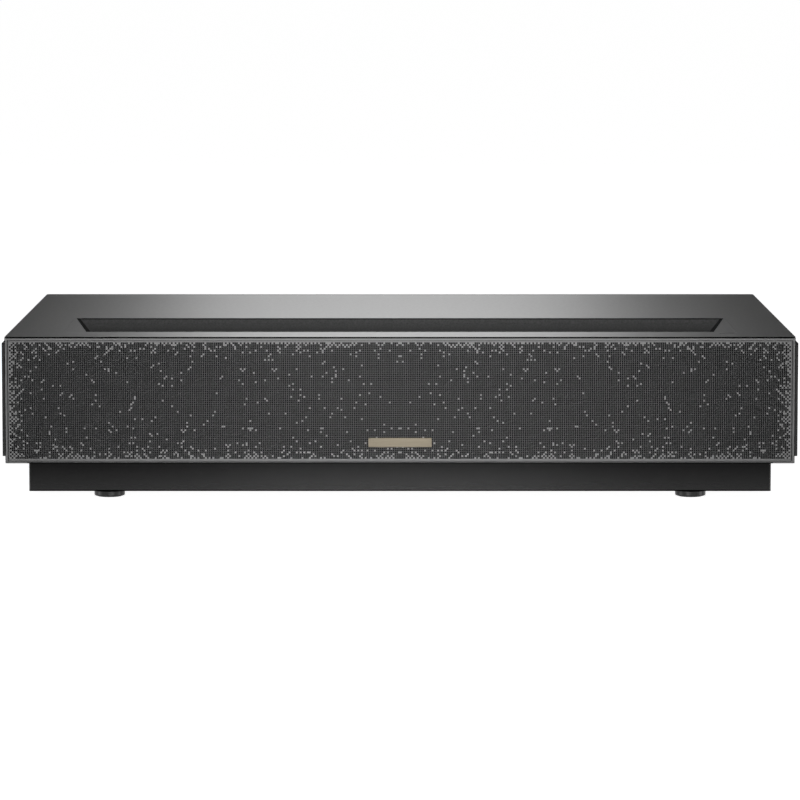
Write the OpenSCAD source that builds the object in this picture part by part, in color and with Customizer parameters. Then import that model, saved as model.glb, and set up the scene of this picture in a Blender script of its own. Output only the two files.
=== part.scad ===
// Ultra-short-throw home projector: a wide, low housing on an inset plinth, with a
// perforated front grille and a sunken light well in its top.
// X runs across the width, the front faces -Y, and the rubber feet rest on Z = 0.

/* [Housing] */
// Width of the housing
body_w = 600; // [580:1:660]
// Depth of the housing
body_d = 405; // [400:1:440]
// Height of the housing above the plinth
body_h = 96.2; // [95:0.1:110]
// Wall of the side covers and the rear panel
wall = 2.5; // [2:0.1:3]
// Thickness of the sheet-steel chassis plate
chassis_t = 2; // [1.5:0.1:3]
// Radius of the upright outer corners
corner_r = 2.4; // [1:0.1:4]

/* [Top cover] */
// Edge of the top cover that overhangs the seam
lip_t = 0.25; // [0.2:0.05:0.8]
// Height of the shadow gap under the lip
seam_h = 0.5; // [0.4:0.05:1]
// Depth of the shadow gap
seam_depth = 1.8; // [1:0.1:2.4]
// Thickness of the cover inside the seam
cover_t = 1.5; // [1.2:0.1:2]

/* [Front] */
// Depth of the front frame
frame_t = 6; // [5:0.1:9]
// Rim of the frame beside the grille
rim_side = 2.4; // [2:0.1:4]
// Rim of the frame above and below the grille
rim_end = 1.5; // [1.2:0.1:3]
// Ledge behind the grille's edge
ledge = 1.1; // [0.9:0.1:4]
// Distance of the grille behind the frame's face
grille_recess = 1; // [0.9:0.1:2]
// Sheet thickness of the grille
grille_t = 1; // [0.6:0.1:1.5]
// Distance between the grille's holes
grille_pitch = 8.48; // [8:0.02:12]
// Side of a square hole
grille_hole = 5.6; // [3:0.1:7]
// Thickness of the acoustic cloth
cloth_t = 0.8; // [0.5:0.1:1.2]
// Width of the badge plate
badge_w = 48; // [30:1:60]
// Height of the badge plate
badge_h = 7; // [5:0.1:12]
// Thickness of the badge plate
badge_t = 0.8; // [0.5:0.1:0.9]
// Underside of the badge above the plinth
badge_up = 12.4; // [8:0.1:20]

/* [Side vents] */
// Distance of a vent panel from the front and the rear
vent_inset = 10; // [8:0.5:20]
// Height of a vent panel
vent_h = 86.6; // [84:0.1:90]
// How far a vent panel stands proud
vent_t = 2.8; // [1.5:0.1:3]
// Distance of a vent panel above the plinth
vent_up = 4.2; // [4:0.1:5]
// Width of a vent slot
vent_slot_w = 2.6; // [2:0.1:3.2]
// Distance between vent slots
vent_pitch = 5; // [4.6:0.1:8]

/* [Light well] */
// Distance of the well behind the front face
well_y = 46; // [44:0.5:60]
// Length of the well from front to back
well_d = 122; // [116:1:130]
// Width of the well at its front edge
well_front_w = 482; // [460:1:484]
// Width of the well at its back edge
well_back_w = 515; // [500:1:530]
// Width of the black lip inside the opening
well_lip = 3.1; // [2:0.1:5]
// Depth of the upright back wall
well_back_h = 4.6; // [4:0.1:8]
// Depth of the well's floor below the top
well_depth = 39; // [36:0.5:41]
// Length of the flat floor round the window
floor_d = 60; // [58:0.5:66]
// Width of the floor at its front edge
floor_w = 410; // [380:1:430]
// Wall of the well
tub_wall = 2; // [1.6:0.1:2.6]
// Width of the window glass
glass_w = 268; // [200:1:290]
// Length of the window glass
glass_d = 52; // [46:0.5:54]
// Thickness of the window glass
glass_t = 2.6; // [2:0.1:3]

/* [Plinth and feet] */
// Inset of the plinth on all four sides
base_inset = 16.5; // [14:0.5:24]
// Height of the plinth
base_h = 23.3; // [21:0.1:30]
// Wall of the plinth
base_wall = 2.5; // [2:0.1:4]
// Gap between the plinth and the ground
foot_h = 6.7; // [6.5:0.1:12]
// Diameter of a foot
foot_d = 23.6; // [20:0.1:30]
// Distance of the feet from the plinth's sides
foot_side = 60; // [40:0.5:80]
// Distance of the feet from the plinth's front and rear
foot_in = 25; // [20:0.5:40]
// Diameter of a foot's screw
stem_d = 8; // [6:0.1:10]
// Travel of a foot
foot_travel = 6; // [4:0.5:8]

/* [Optics] */
// Height of the lens axis above the chassis
lens_up = 28; // [27:0.5:30]
// Diameter of the lens barrel
barrel_d = 44; // [40:0.5:46]
// Teeth on the focus ring
ring_teeth = 60; // [54:2:62]
// Teeth on the focus pinion
pinion_teeth = 16; // [14:2:20]
// Module of the focus gears
gear_module = 0.8; // [0.7:0.05:0.85]
// Width of the mirror chamber
chamber_w = 280; // [270:1:300]
// Width of the aspheric mirror
mirror_w = 170; // [140:1:200]
// Radius of the mirror's curve
mirror_r = 200; // [180:1:260]
// Width of the engine housing
engine_w = 190; // [170:1:195]
// Length of the engine housing
engine_d = 108; // [100:1:110]
// Height of the engine housing
engine_h = 76; // [70:1:80]
// Diameter of the phosphor wheel
wheel_d = 50; // [40:1:52]

/* [Cooling] */
// Side of a fan's square frame
fan_size = 80; // [70:1:84]
// Depth of a fan
fan_t = 25; // [20:0.5:28]
// Blades on a fan rotor
fan_blades = 7; // [5:1:9]
// Distance between heat-sink fins
fin_pitch = 4; // [3:0.1:6]
// Thickness of a fin
fin_t = 1; // [0.6:0.1:1.5]
// Diameter of a heat pipe
pipe_d = 6; // [5:0.1:8]

/* [Sound] */
// Width of a speaker box
box_w = 128; // [110:1:130]
// Depth of a speaker box
box_d = 30; // [26:0.5:33]
// Diameter of a speaker
driver_d = 70; // [50:1:76]

/* [Controls] */
// Diameter of the power button
button_d = 12; // [10:0.1:14]
// Travel of the power button
button_travel = 0.8; // [0.5:0.1:1]
// Distance of the power button from the side
button_side = 50; // [38:1:54]
// Distance of the power button behind the front face
button_y = 29; // [28:0.5:32]

/* [Hidden] */
$fn = 64;
// Clearances: round parts that turn, parts that slide, parts laid in a pocket
running = 0.05;
sliding = 0.15;
pocket = 0.3;

// Heights
body_z = foot_h + base_h;
top_z = body_z + body_h;
seam_z = top_z - lip_t - seam_h;
cover_z = seam_z - cover_t;
deck_z = body_z + chassis_t;
// Faces
front_y = -body_d / 2;
rear_y = body_d / 2;
side_x = body_w / 2;
inner_x = side_x - wall;
inner_front_y = front_y + frame_t;
inner_rear_y = rear_y - wall;
// Depth of the main board, its front edge, and the gap between it and the engine
board_d = 60;
board_y = inner_rear_y - 2 - board_d;
board_gap = 13;

// A box given by its low and high corners
module box(lo, hi) translate(lo) cube(hi - lo);

// A bar of round section along Y, from y0 to y1
module y_bar(d, y0, y1) translate([0, y0, 0]) rotate([-90, 0, 0]) cylinder(d = d, h = y1 - y0);

// A rectangle with rounded corners, centred
module rounded_rect(w, d, r) {
    square([w - 2 * r, d], center = true);
    square([w, d - 2 * r], center = true);
    for (x = [-1, 1], y = [-1, 1])
        translate([x * (w / 2 - r), y * (d / 2 - r)]) circle(r);
}

// An upright slot with round ends, centred
module slot_2d(w, h) {
    square([w, h - w], center = true);
    for (z = [-1, 1]) translate([0, z * (h - w) / 2]) circle(d = w, $fn = 24);
}

// The same part at the left (-1) and the right (1)
module sided(side) scale([side, 1, 1]) children();

/* ---- Light well ---- */

well_front_y = front_y + well_y;
well_back_y = well_front_y + well_d;
flange_z = cover_z - 2;
flange_w = 5;
mouth_z = top_z - well_back_h;
lip_z = top_z - 0.2;
floor_z = top_z - well_depth;
floor_t = 4;
floor_front_y = well_front_y + 5.5;
floor_back_y = floor_front_y + floor_d;
well_slope = (well_back_w - well_front_w) / 2 / well_d;
trim_edge = 1;

// The opening in plan, wider towards the back, grown by a margin on each side
module well_plan(grow = 0) polygon([
    [-well_front_w / 2 - grow, well_front_y - grow],
    [well_front_w / 2 + grow, well_front_y - grow],
    [well_back_w / 2 + grow, well_back_y + grow],
    [-well_back_w / 2 - grow, well_back_y + grow]]);

// The flat floor in plan, its sides parallel to the opening's
module floor_plan(grow = 0) {
    back_w = floor_w + 2 * well_slope * floor_d;
    polygon([
        [-floor_w / 2 - grow, floor_front_y - grow],
        [floor_w / 2 + grow, floor_front_y - grow],
        [back_w / 2 + grow, floor_back_y + grow],
        [-back_w / 2 - grow, floor_back_y + grow]]);
}

// The rectangle that the trim fills, grown by a margin
module trim_plan(grow = 0)
    translate([-well_back_w / 2 - trim_edge - grow, well_front_y - trim_edge - grow])
        square([well_back_w + 2 * (trim_edge + grow), well_d + 2 * (trim_edge + grow)]);

// A thin slice, as one end of a funnel
module slice(z) translate([0, 0, z]) linear_extrude(0.01) children();

module light_well() color("#26272a") difference() {
    union() {
        translate([0, 0, flange_z]) linear_extrude(cover_z - flange_z) trim_plan(flange_w);
        translate([0, 0, flange_z]) linear_extrude(lip_z - flange_z) well_plan(-pocket);
        hull() {
            slice(flange_z) well_plan(tub_wall - well_lip);
            slice(floor_z - floor_t) floor_plan(tub_wall);
        }
    }
    translate([0, 0, mouth_z]) linear_extrude(well_back_h) well_plan(-well_lip);
    hull() {
        slice(mouth_z) well_plan(-well_lip);
        slice(floor_z) floor_plan();
    }
    window_box(pocket / 2, floor_z - glass_t, floor_z + 1);
    window_box(-3, floor_z - floor_t - 1, floor_z);
}

// The window's outline, grown by a margin, between two heights
module window_box(grow, z0, z1) {
    mid_y = (floor_front_y + floor_back_y) / 2;
    box([-glass_w / 2 - grow, mid_y - glass_d / 2 - grow, z0],
        [glass_w / 2 + grow, mid_y + glass_d / 2 + grow, z1]);
}

module window_glass() color("#31404a") window_box(0, floor_z - glass_t, floor_z);

module well_trim() color("#8f9093")
    translate([0, 0, cover_z]) linear_extrude(top_z - cover_z) difference() {
        trim_plan();
        well_plan();
    }

/* ---- Top cover and power button ---- */

button_z = top_z - 0.1;
button_flange_t = 1.2;
button_post_x = button_d / 2 + 6;
button_at = [side_x - button_side, front_y + button_y];
switch_z = button_z - 11.5;
board_t = 1.6;
post_d = 4.6;
switch_board_w = 2 * button_post_x + post_d + 4;
switch_board_d = 12;
switch_h = 3.5;
switch_w = 6;
plunger_h = 1;

module button_posts(d) for (x = [-1, 1])
    translate([button_at.x + x * button_post_x, button_at.y, switch_z])
        cylinder(d = d, h = cover_z - switch_z);

module top_cover() color("#9b9c9f") {
    difference() {
        union() {
            translate([0, 0, top_z - lip_t]) linear_extrude(lip_t)
                rounded_rect(body_w, body_d, corner_r);
            translate([0, 0, seam_z]) linear_extrude(seam_h)
                rounded_rect(body_w - 2 * seam_depth, body_d - 2 * seam_depth, corner_r);
            box([-inner_x + pocket, inner_front_y + pocket, cover_z],
                [inner_x - pocket, inner_rear_y - pocket, seam_z]);
        }
        translate([0, 0, cover_z - 1]) linear_extrude(top_z - cover_z + 2) trim_plan(sliding);
        translate([button_at.x, button_at.y, cover_z - 1])
            cylinder(d = button_d + 2 * sliding, h = top_z - cover_z + 2);
    }
    button_posts(post_d);
}

// The cap, its retaining flange and the stem that presses the switch
module power_button() color("#86878a") translate([button_at.x, button_at.y, 0]) {
    flange_top = cover_z - pocket;
    translate([0, 0, flange_top]) cylinder(d = button_d, h = button_z - flange_top);
    translate([0, 0, flange_top - button_flange_t])
        cylinder(d = button_d + 3, h = button_flange_t);
    stem_z = switch_z + switch_h + plunger_h + button_travel + running;
    translate([0, 0, stem_z]) cylinder(d = 4, h = flange_top - button_flange_t - stem_z);
}

// A small circuit board with its tactile switch, screwed under the two posts
module button_board() color("#1f4a32") translate([button_at.x, button_at.y, 0]) {
    box([-switch_board_w / 2, -switch_board_d / 2, switch_z - board_t],
        [switch_board_w / 2, switch_board_d / 2, switch_z]);
    box([-switch_w / 2, -switch_w / 2, switch_z], [switch_w / 2, switch_w / 2, switch_z + switch_h]);
    translate([0, 0, switch_z + switch_h]) cylinder(d = 3.4, h = plunger_h);
    for (x = [-1, 1])
        translate([x * button_post_x, 0, switch_z - board_t - head_t])
            cylinder(d = post_d + 0.4, h = head_t);
}

/* ---- Front ---- */

pocket_y = grille_recess + grille_t;
grille_x = side_x - rim_side - pocket;
grille_z0 = body_z + rim_end + pocket;
grille_z1 = seam_z - rim_end - pocket;

// A slab across the housing with its two front corners rounded in plan
module front_slab() translate([0, front_y, body_z]) linear_extrude(seam_z - body_z) {
    translate([-side_x, corner_r]) square([body_w, frame_t - corner_r]);
    translate([corner_r - side_x, 0]) square([body_w - 2 * corner_r, frame_t]);
    for (x = [-1, 1]) translate([x * (side_x - corner_r), corner_r]) circle(corner_r);
}

module front_frame() color("#6d6e70") difference() {
    front_slab();
    box([rim_side - side_x, front_y - 1, body_z + rim_end],
        [side_x - rim_side, front_y + pocket_y, seam_z - rim_end]);
    box([rim_side + ledge - side_x, front_y, body_z + rim_end + ledge],
        [side_x - rim_side - ledge, inner_front_y + 1, seam_z - rim_end - ledge]);
}

// Whole columns and rows of holes that fit inside the ledge
hole_area_w = 2 * (grille_x - ledge);
hole_area_h = grille_z1 - grille_z0 - 2 * ledge;
hole_columns = floor(hole_area_w / grille_pitch);
hole_rows = floor(hole_area_h / grille_pitch);
half_columns = ceil(hole_columns / 2);
// One random number for each hole of the left half, which the right half mirrors
hole_luck = rands(0, 1, half_columns * hole_rows, 7);

// The share of holes left blank fades from the border inwards
function blank_share(border) = border == 0 ? 0.5 : border == 1 ? 0.2 : 0.03;
function hole_open(column, row) =
    let (half = min(column, hole_columns - 1 - column),
        border = min(half, row, hole_rows - 1 - row))
    hole_luck[half * hole_rows + row] > blank_share(border);

module front_grille() color("#57585a")
    translate([0, front_y + pocket_y, (grille_z0 + grille_z1) / 2])
        rotate([90, 0, 0]) linear_extrude(grille_t) difference() {
            square([2 * grille_x, grille_z1 - grille_z0], center = true);
            for (i = [0 : hole_columns - 1], j = [0 : hole_rows - 1])
                if (hole_open(i, j))
                    translate([(i - (hole_columns - 1) / 2) * grille_pitch,
                        (j - (hole_rows - 1) / 2) * grille_pitch])
                        square(grille_hole, center = true);
        }

module grille_cloth() color("#202124")
    box([ledge + sliding - grille_x, front_y + pocket_y, grille_z0 + ledge + sliding],
        [grille_x - ledge - sliding, front_y + pocket_y + cloth_t,
            grille_z1 - ledge - sliding]);

module badge_plate() color("#a39a8b")
    translate([0, front_y + grille_recess, body_z + badge_up + badge_h / 2])
        rotate([90, 0, 0]) linear_extrude(badge_t) rounded_rect(badge_w, badge_h, 0.6);

/* ---- Sides and rear ---- */

vent_edge = 12;
vent_l = body_d - 2 * vent_inset;
window_l = vent_l - 2 * vent_edge;
vent_z = body_z + vent_up + vent_h / 2;
vent_slot_h = vent_h - 2 * vent_edge;

module side_cover(side) color("#7b7c7f") sided(side) difference() {
    union() {
        box([inner_x, inner_front_y, body_z], [side_x, inner_rear_y, seam_z]);
        // Bosses for the rear panel's screws
        for (at = rear_screw_at) if (at.x > 0)
            box([at.x - 4, inner_rear_y - screw_l - 2, at.y - 4],
                [inner_x, inner_rear_y, at.y + 4]);
    }
    for (at = rear_screw_at) if (at.x > 0)
        translate([at.x, 0, at.y]) y_bar(screw_d, inner_rear_y - screw_l, inner_rear_y + 1);
    box([inner_x - 1, -window_l / 2, vent_z - vent_slot_h / 2 - 1],
        [side_x + 1, window_l / 2, vent_z + vent_slot_h / 2 + 1]);
}

// A slotted panel that stands proud of the side cover
vent_slots = floor((window_l - vent_pitch) / vent_pitch);
module vent_panel(side) color("#2c2d30") sided(side)
    translate([side_x, 0, vent_z]) rotate([90, 0, 90]) linear_extrude(vent_t) difference() {
        rounded_rect(vent_l, vent_h, 1.5);
        for (i = [0 : vent_slots - 1])
            translate([(i - (vent_slots - 1) / 2) * vent_pitch, 0])
                slot_2d(vent_slot_w, vent_slot_h);
    }

// Sockets on the rear panel: distance from the middle, width and height of the opening
port_up = 18;
port_z = deck_z + port_up;
hdmi_x = [-84, -56];
usb_x = -30;
lan_x = -4;
optical_x = 22;
jack_x = 42;
inlet_side = 95;
inlet_x = inlet_side - side_x;
hdmi_size = [15, 5.6];
usb_size = [14, 7];
lan_size = [16, 14];
optical_size = [10, 10];
jack_size = [8, 8];
inlet_size = [28, 20];
inlet_up = 24;
inlet_z = deck_z + inlet_up;

// A rectangular hole through the rear panel round a socket
module port_hole(x, z, size) translate([x, inner_rear_y - 1, z])
    box([-size.x / 2 - pocket / 2, 0, -size.y / 2 - pocket / 2],
        [size.x / 2 + pocket / 2, wall + 2, size.y / 2 + pocket / 2]);

rear_screw_at = [for (x = [-1, 1], z = [body_z + 10, seam_z - 10]) [x * (inner_x - 8), z]];
rear_vents = 18;
rear_vent_x = 150;
rear_vent_pitch = 6;
rear_vent_h = 30;
screw_d = 3;
screw_l = 8;
head_d = 6;
head_t = 1.4;

module rear_panel() color("#303134") difference() {
    box([-side_x, inner_rear_y, body_z], [side_x, rear_y, seam_z]);
    for (x = hdmi_x) port_hole(x, port_z, hdmi_size);
    port_hole(usb_x, port_z, usb_size);
    port_hole(lan_x, port_z, lan_size);
    port_hole(optical_x, port_z, optical_size);
    port_hole(jack_x, port_z, jack_size);
    port_hole(inlet_x, inlet_z, inlet_size);
    for (side = [-1, 1], i = [0 : rear_vents - 1])
        translate([side * (rear_vent_x + i * rear_vent_pitch), rear_y + 1,
            seam_z - 19 - rear_vent_h / 2])
            rotate([90, 0, 0]) linear_extrude(wall + 2) slot_2d(2.8, rear_vent_h);
    for (at = rear_screw_at) translate([at.x, 0, at.y]) {
        y_bar(screw_d + 2 * sliding, inner_rear_y - 1, rear_y + 1);
        y_bar(head_d + 2 * sliding, rear_y - head_t, rear_y + 1);
    }
}

module rear_screws() color("#1b1b1d") for (at = rear_screw_at) translate([at.x, 0, at.y]) {
    y_bar(screw_d, inner_rear_y - screw_l, rear_y - head_t);
    y_bar(head_d, rear_y - head_t, rear_y);
}

/* ---- Plinth, chassis and feet ---- */

base_x = side_x - base_inset;
base_front_y = front_y + base_inset;
base_rear_y = rear_y - base_inset;
// Collar above a foot, and how far the cup hangs above the ground
ring_h = 2.2;
cup_z = 0.5;
stem_top = body_z - 4;
pad_h = 1.6;
pad_d = foot_d - 5;
spigot_d = 6;
spigot_h = 2;

// The four feet: name order is front left, front right, rear left, rear right
foot_at = [for (y = [base_front_y + foot_in, base_rear_y - foot_in], x = [-1, 1])
    [x * (base_x - foot_side), y]];
base_screw_at = [for (x = [-base_x + 14, 0, base_x - 14], y = [base_front_y + 14, base_rear_y - 14])
    [x, y]];
base_vents = 14;

// A moulded tray with bosses for the feet and the screws
module base_cover() color("#1d1d1f") difference() {
    union() {
        difference() {
            translate([0, 0, foot_h]) linear_extrude(base_h)
                rounded_rect(2 * base_x, base_rear_y - base_front_y, corner_r);
            box([base_wall - base_x, base_front_y + base_wall, foot_h + base_wall],
                [base_x - base_wall, base_rear_y - base_wall, body_z + 1]);
        }
        for (at = foot_at) translate([at.x, at.y, foot_h - ring_h]) {
            cylinder(d1 = foot_d + 1.2, d2 = foot_d + 5, h = ring_h);
            cylinder(d = stem_d + 8, h = body_z - foot_h + ring_h);
        }
        for (at = base_screw_at) translate([at.x, at.y, foot_h])
            cylinder(d = head_d + 4, h = base_h);
    }
    for (at = foot_at) translate([at.x, at.y, foot_h - ring_h - 1])
        cylinder(d = stem_d + 2 * running, h = body_z + 2);
    for (at = base_screw_at) translate([at.x, at.y, foot_h - 1]) {
        cylinder(d = screw_d + 2 * sliding, h = base_h + 2);
        cylinder(d = head_d + 2 * sliding, h = base_h - 3);
    }
    for (side = [-1, 1], i = [0 : base_vents - 1])
        translate([side * (60 + i * 8), 0, foot_h - 1]) linear_extrude(base_wall + 2)
            slot_2d(3, 60);
}

module base_screws() color("#1b1b1d") for (at = base_screw_at)
    translate([at.x, at.y, foot_h + base_h - 4]) {
        translate([0, 0, -head_t]) cylinder(d = head_d, h = head_t);
        cylinder(d = screw_d, h = 4 + chassis_t);
    }

module chassis_plate() color("#8d9094") difference() {
    box([-inner_x, inner_front_y, body_z], [inner_x, inner_rear_y, deck_z]);
    for (at = base_screw_at) translate([at.x, at.y, body_z - 1])
        cylinder(d = screw_d, h = chassis_t + 2);
}

// A screw foot: a round metal cup on a stem, turning on its rubber pad
module foot(i) color("#55565a") translate([foot_at[i].x, foot_at[i].y, 0]) difference() {
    cup_top = foot_h - ring_h;
    union() {
        rotate_extrude() {
            translate([0, cup_z]) square([foot_d / 2 - 1, cup_top - cup_z]);
            translate([0, cup_z + 1]) square([foot_d / 2, cup_top - cup_z - 1]);
            translate([foot_d / 2 - 1, cup_z + 1]) circle(1);
        }
        cylinder_between(stem_d, cup_top, stem_top);
    }
    cylinder_between(pad_d + 2 * running, 0, pad_h + running);
    cylinder_between(spigot_d + 2 * running, 0, pad_h + spigot_h + running);
}

module cylinder_between(d, z0, z1) translate([0, 0, z0]) cylinder(d = d, h = z1 - z0);

module foot_pad(i) color("#151516") translate([foot_at[i].x, foot_at[i].y, 0]) {
    cylinder_between(pad_d, 0, pad_h);
    cylinder_between(spigot_d, 0, pad_h + spigot_h);
}

/* ---- Optics ---- */

axis_z = deck_z + lens_up;
chamber_wall = 2.5;
chamber_front_y = floor_front_y;
chamber_back_y = floor_back_y;
chamber_top = floor_z - floor_t;
engine_y = board_y - board_gap - engine_d;
engine_wall = 3;
lid_t = 3;
barrel_y = chamber_back_y - 5;
flange_t = 6;
flange_d = 2 * (lens_up - 1);
spigot_len = 8;

module mirror_housing() color("#1c1c1e") difference() {
    box([-chamber_w / 2, chamber_front_y, deck_z], [chamber_w / 2, chamber_back_y, chamber_top]);
    box([chamber_wall - chamber_w / 2, chamber_front_y + chamber_wall, deck_z + chamber_wall],
        [chamber_w / 2 - chamber_wall, chamber_back_y - chamber_wall, chamber_top + 1]);
    translate([0, 0, axis_z])
        y_bar(barrel_d + 2 * sliding, chamber_back_y - chamber_wall - 1, chamber_back_y + 1);
}

// A block with a hollow mirror face turned to the lens
module aspheric_mirror() color("#c9ccd0") difference() {
    mirror_y = chamber_front_y + chamber_wall;
    mirror_z = deck_z + chamber_wall;
    box([-mirror_w / 2, mirror_y, mirror_z],
        [mirror_w / 2, mirror_y + 26, chamber_top - 2]);
    translate([0, mirror_y + 6 + mirror_r, chamber_top]) sphere(mirror_r, $fn = 128);
}

module lens_barrel() color("#2f3033") translate([0, 0, axis_z]) difference() {
    union() {
        y_bar(barrel_d, barrel_y, engine_y);
        y_bar(flange_d, engine_y - flange_t, engine_y);
        y_bar(barrel_d - 8, engine_y, engine_y + spigot_len);
    }
    y_bar(barrel_d - 6, barrel_y - 1, barrel_y + 8);
    y_bar(barrel_d - 16, barrel_y, engine_y + spigot_len + 1);
}

// A dome of glass in the barrel's mouth
module front_lens() color("#44606c") translate([0, barrel_y + 8, axis_z]) rotate([90, 0, 0])
    rotate_extrude() intersection() {
        dome_r = barrel_d / 2 + 4;
        square([(barrel_d - 6) / 2 - running, 12]);
        translate([0, 9 - dome_r]) circle(dome_r, $fn = 128);
    }

// Involute gear outline: half the angle of a tooth at radius r, in degrees
function roll(a) = tan(a) * 180 / PI - a;
function tooth_half(teeth, r) =
    let (base_r = gear_module * teeth / 2 * cos(20))
    87 / teeth + roll(20) - roll(acos(min(1, base_r / r)));
function tooth_point(r, a) = [r * cos(a), r * sin(a)];
module gear_2d(teeth) {
    pitch_r = gear_module * teeth / 2;
    root_r = pitch_r - 1.2 * gear_module;
    tip_r = pitch_r + 0.8 * gear_module;
    flank = [for (k = [0 : 3]) max(root_r, pitch_r * cos(20)) + k / 3
        * (tip_r - max(root_r, pitch_r * cos(20)))];
    polygon([for (i = [0 : teeth - 1]) let (a = i * 360 / teeth) each concat(
        [tooth_point(root_r, a - tooth_half(teeth, flank[0]))],
        [for (k = [0 : 3]) tooth_point(flank[k], a - tooth_half(teeth, flank[k]))],
        [for (k = [3 : -1 : 0]) tooth_point(flank[k], a + tooth_half(teeth, flank[k]))],
        [tooth_point(root_r, a + tooth_half(teeth, flank[0]))])]);
}

ring_t = 12;
ring_back = 38;
ring_y = engine_y - ring_back - ring_t;
pinion_x = gear_module * (ring_teeth + pinion_teeth) / 2;
motor_d = 15;
motor_l = 24;
shaft_d = 2;

module focus_ring() color("#3b3c40") translate([0, ring_y + ring_t, axis_z])
    rotate([90, 0, 0]) linear_extrude(ring_t) difference() {
        gear_2d(ring_teeth);
        circle(d = barrel_d + 2 * running);
    }

// Turned by half a tooth so that a gap faces the ring
module focus_pinion() color("#d8d4c6") translate([pinion_x, ring_y + ring_t, axis_z])
    rotate([90, 0, 0]) {
        linear_extrude(ring_t) rotate(180 / pinion_teeth) gear_2d(pinion_teeth);
        translate([0, 0, -6]) cylinder(d = shaft_d, h = 7);
    }

module focus_motor() color("#9a9da1") translate([pinion_x, 0, 0]) {
    motor_y = ring_y + ring_t + 1;
    difference() {
        translate([0, 0, axis_z]) y_bar(motor_d, motor_y, motor_y + motor_l);
        translate([0, 0, axis_z]) y_bar(shaft_d + 2 * running, motor_y - 1, motor_y + 8);
    }
    box([-6, motor_y + 4, deck_z], [6, motor_y + motor_l - 4, axis_z - motor_d / 2 + 1]);
}

module engine_housing() color("#7f8286") difference() {
    union() {
        box([-engine_w / 2, engine_y, deck_z],
            [engine_w / 2, engine_y + engine_d, deck_z + engine_h]);
        // Stiffening ribs down both flanks
        for (x = [-1, 1], i = [1 : 4])
            translate([x * engine_w / 2, engine_y + engine_d * i / 5, deck_z])
                box([-2, -1, 0], [2, 1, engine_h - 10]);
    }
    box([engine_wall - engine_w / 2, engine_y + engine_wall, deck_z + engine_wall],
        [engine_w / 2 - engine_wall, engine_y + engine_d - engine_wall, deck_z + engine_h + 1]);
    translate([0, 0, axis_z]) y_bar(barrel_d - 8 + 2 * running, engine_y - 1, engine_y + engine_wall + 1);
}

module engine_lid() color("#8b8e92") {
    lid_z = deck_z + engine_h;
    box([-engine_w / 2, engine_y, lid_z], [engine_w / 2, engine_y + engine_d, lid_z + lid_t]);
    for (i = [-3 : 3]) translate([i * engine_w / 8, engine_y + engine_d / 2, lid_z + lid_t])
        box([-1.5, -engine_d / 2 + 8, 0], [1.5, engine_d / 2 - 8, 1.5]);
}

// The colour wheel and its motor inside the engine
wheel_in = 42;
wheel_up = 34;
wheel_at = [-engine_w / 4, engine_y + wheel_in, deck_z + engine_wall + wheel_up];
wheel_shaft = 3;
wheel_shaft_l = 12;

module phosphor_wheel() color("#d9b93a") translate(wheel_at) {
    y_bar(wheel_d, 0, 1.5);
    y_bar(wheel_d / 2, -2, 0);
    y_bar(wheel_shaft, 0, wheel_shaft_l);
}

module wheel_motor() color("#8a8d91") translate(wheel_at) difference() {
    union() {
        y_bar(24, 2, 18);
        box([-8, 4, -wheel_at.z + deck_z + engine_wall], [8, 16, -8]);
    }
    y_bar(wheel_shaft + 2 * running, 1, wheel_shaft_l + pocket);
}

/* ---- Cooling ---- */

sink_x = engine_w / 2 + 18;
sink_gap = 37.5;
sink_w = inner_x - fan_t - sink_gap - sink_x;
sink_y = engine_y + 24;
sink_d = 104;
sink_h = 72;
sink_base = 5;
fins = floor(sink_d / fin_pitch);
pipe_z = [for (i = [0 : 2]) deck_z + 22 + i * 17];
pipe_x = [for (i = [0 : 2]) sink_x + 22 + i * 38];
bend_r = 14;
pipe_y = sink_y - bend_r - 2;

module heat_sink() color("#a9acb0") difference() {
    union() {
        box([sink_x, sink_y, deck_z], [sink_x + sink_w, sink_y + sink_d, deck_z + sink_base]);
        for (i = [0 : fins - 1]) translate([sink_x, sink_y + i * fin_pitch, deck_z])
            cube([sink_w, fin_t, sink_h]);
    }
    for (i = [0 : 2]) translate([pipe_x[i], 0, pipe_z[i]])
        y_bar(pipe_d, sink_y - 1, sink_y + sink_d + 1);
}

// Copper pipes from the engine's flank, round a bend and through every fin
module heat_pipes() color("#b5704a") for (i = [0 : 2]) translate([0, 0, pipe_z[i]]) {
    translate([engine_w / 2, pipe_y, 0]) rotate([0, 90, 0])
        cylinder(d = pipe_d, h = pipe_x[i] - bend_r - engine_w / 2);
    translate([pipe_x[i] - bend_r, pipe_y + bend_r, 0]) rotate([0, 0, -90])
        rotate_extrude(angle = 90) translate([bend_r, 0]) circle(d = pipe_d);
    translate([pipe_x[i], 0, 0]) y_bar(pipe_d, pipe_y + bend_r, sink_y + sink_d);
}

// Fans stand on the chassis against the side covers: side and distance from the middle
fan_at = [[-1, 20], [1, sink_y + fan_size / 2 - 22], [1, sink_y + fan_size * 1.5 - 20]];
fan_z = deck_z + fan_size / 2;
fan_axle = 4;
hub_d = 30;
fan_bore = fan_size - 4;

module fan_place(i) translate([fan_at[i].x * (inner_x - fan_t), fan_at[i].y, fan_z])
    rotate([0, 90 * fan_at[i].x, 0]) children();

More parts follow.
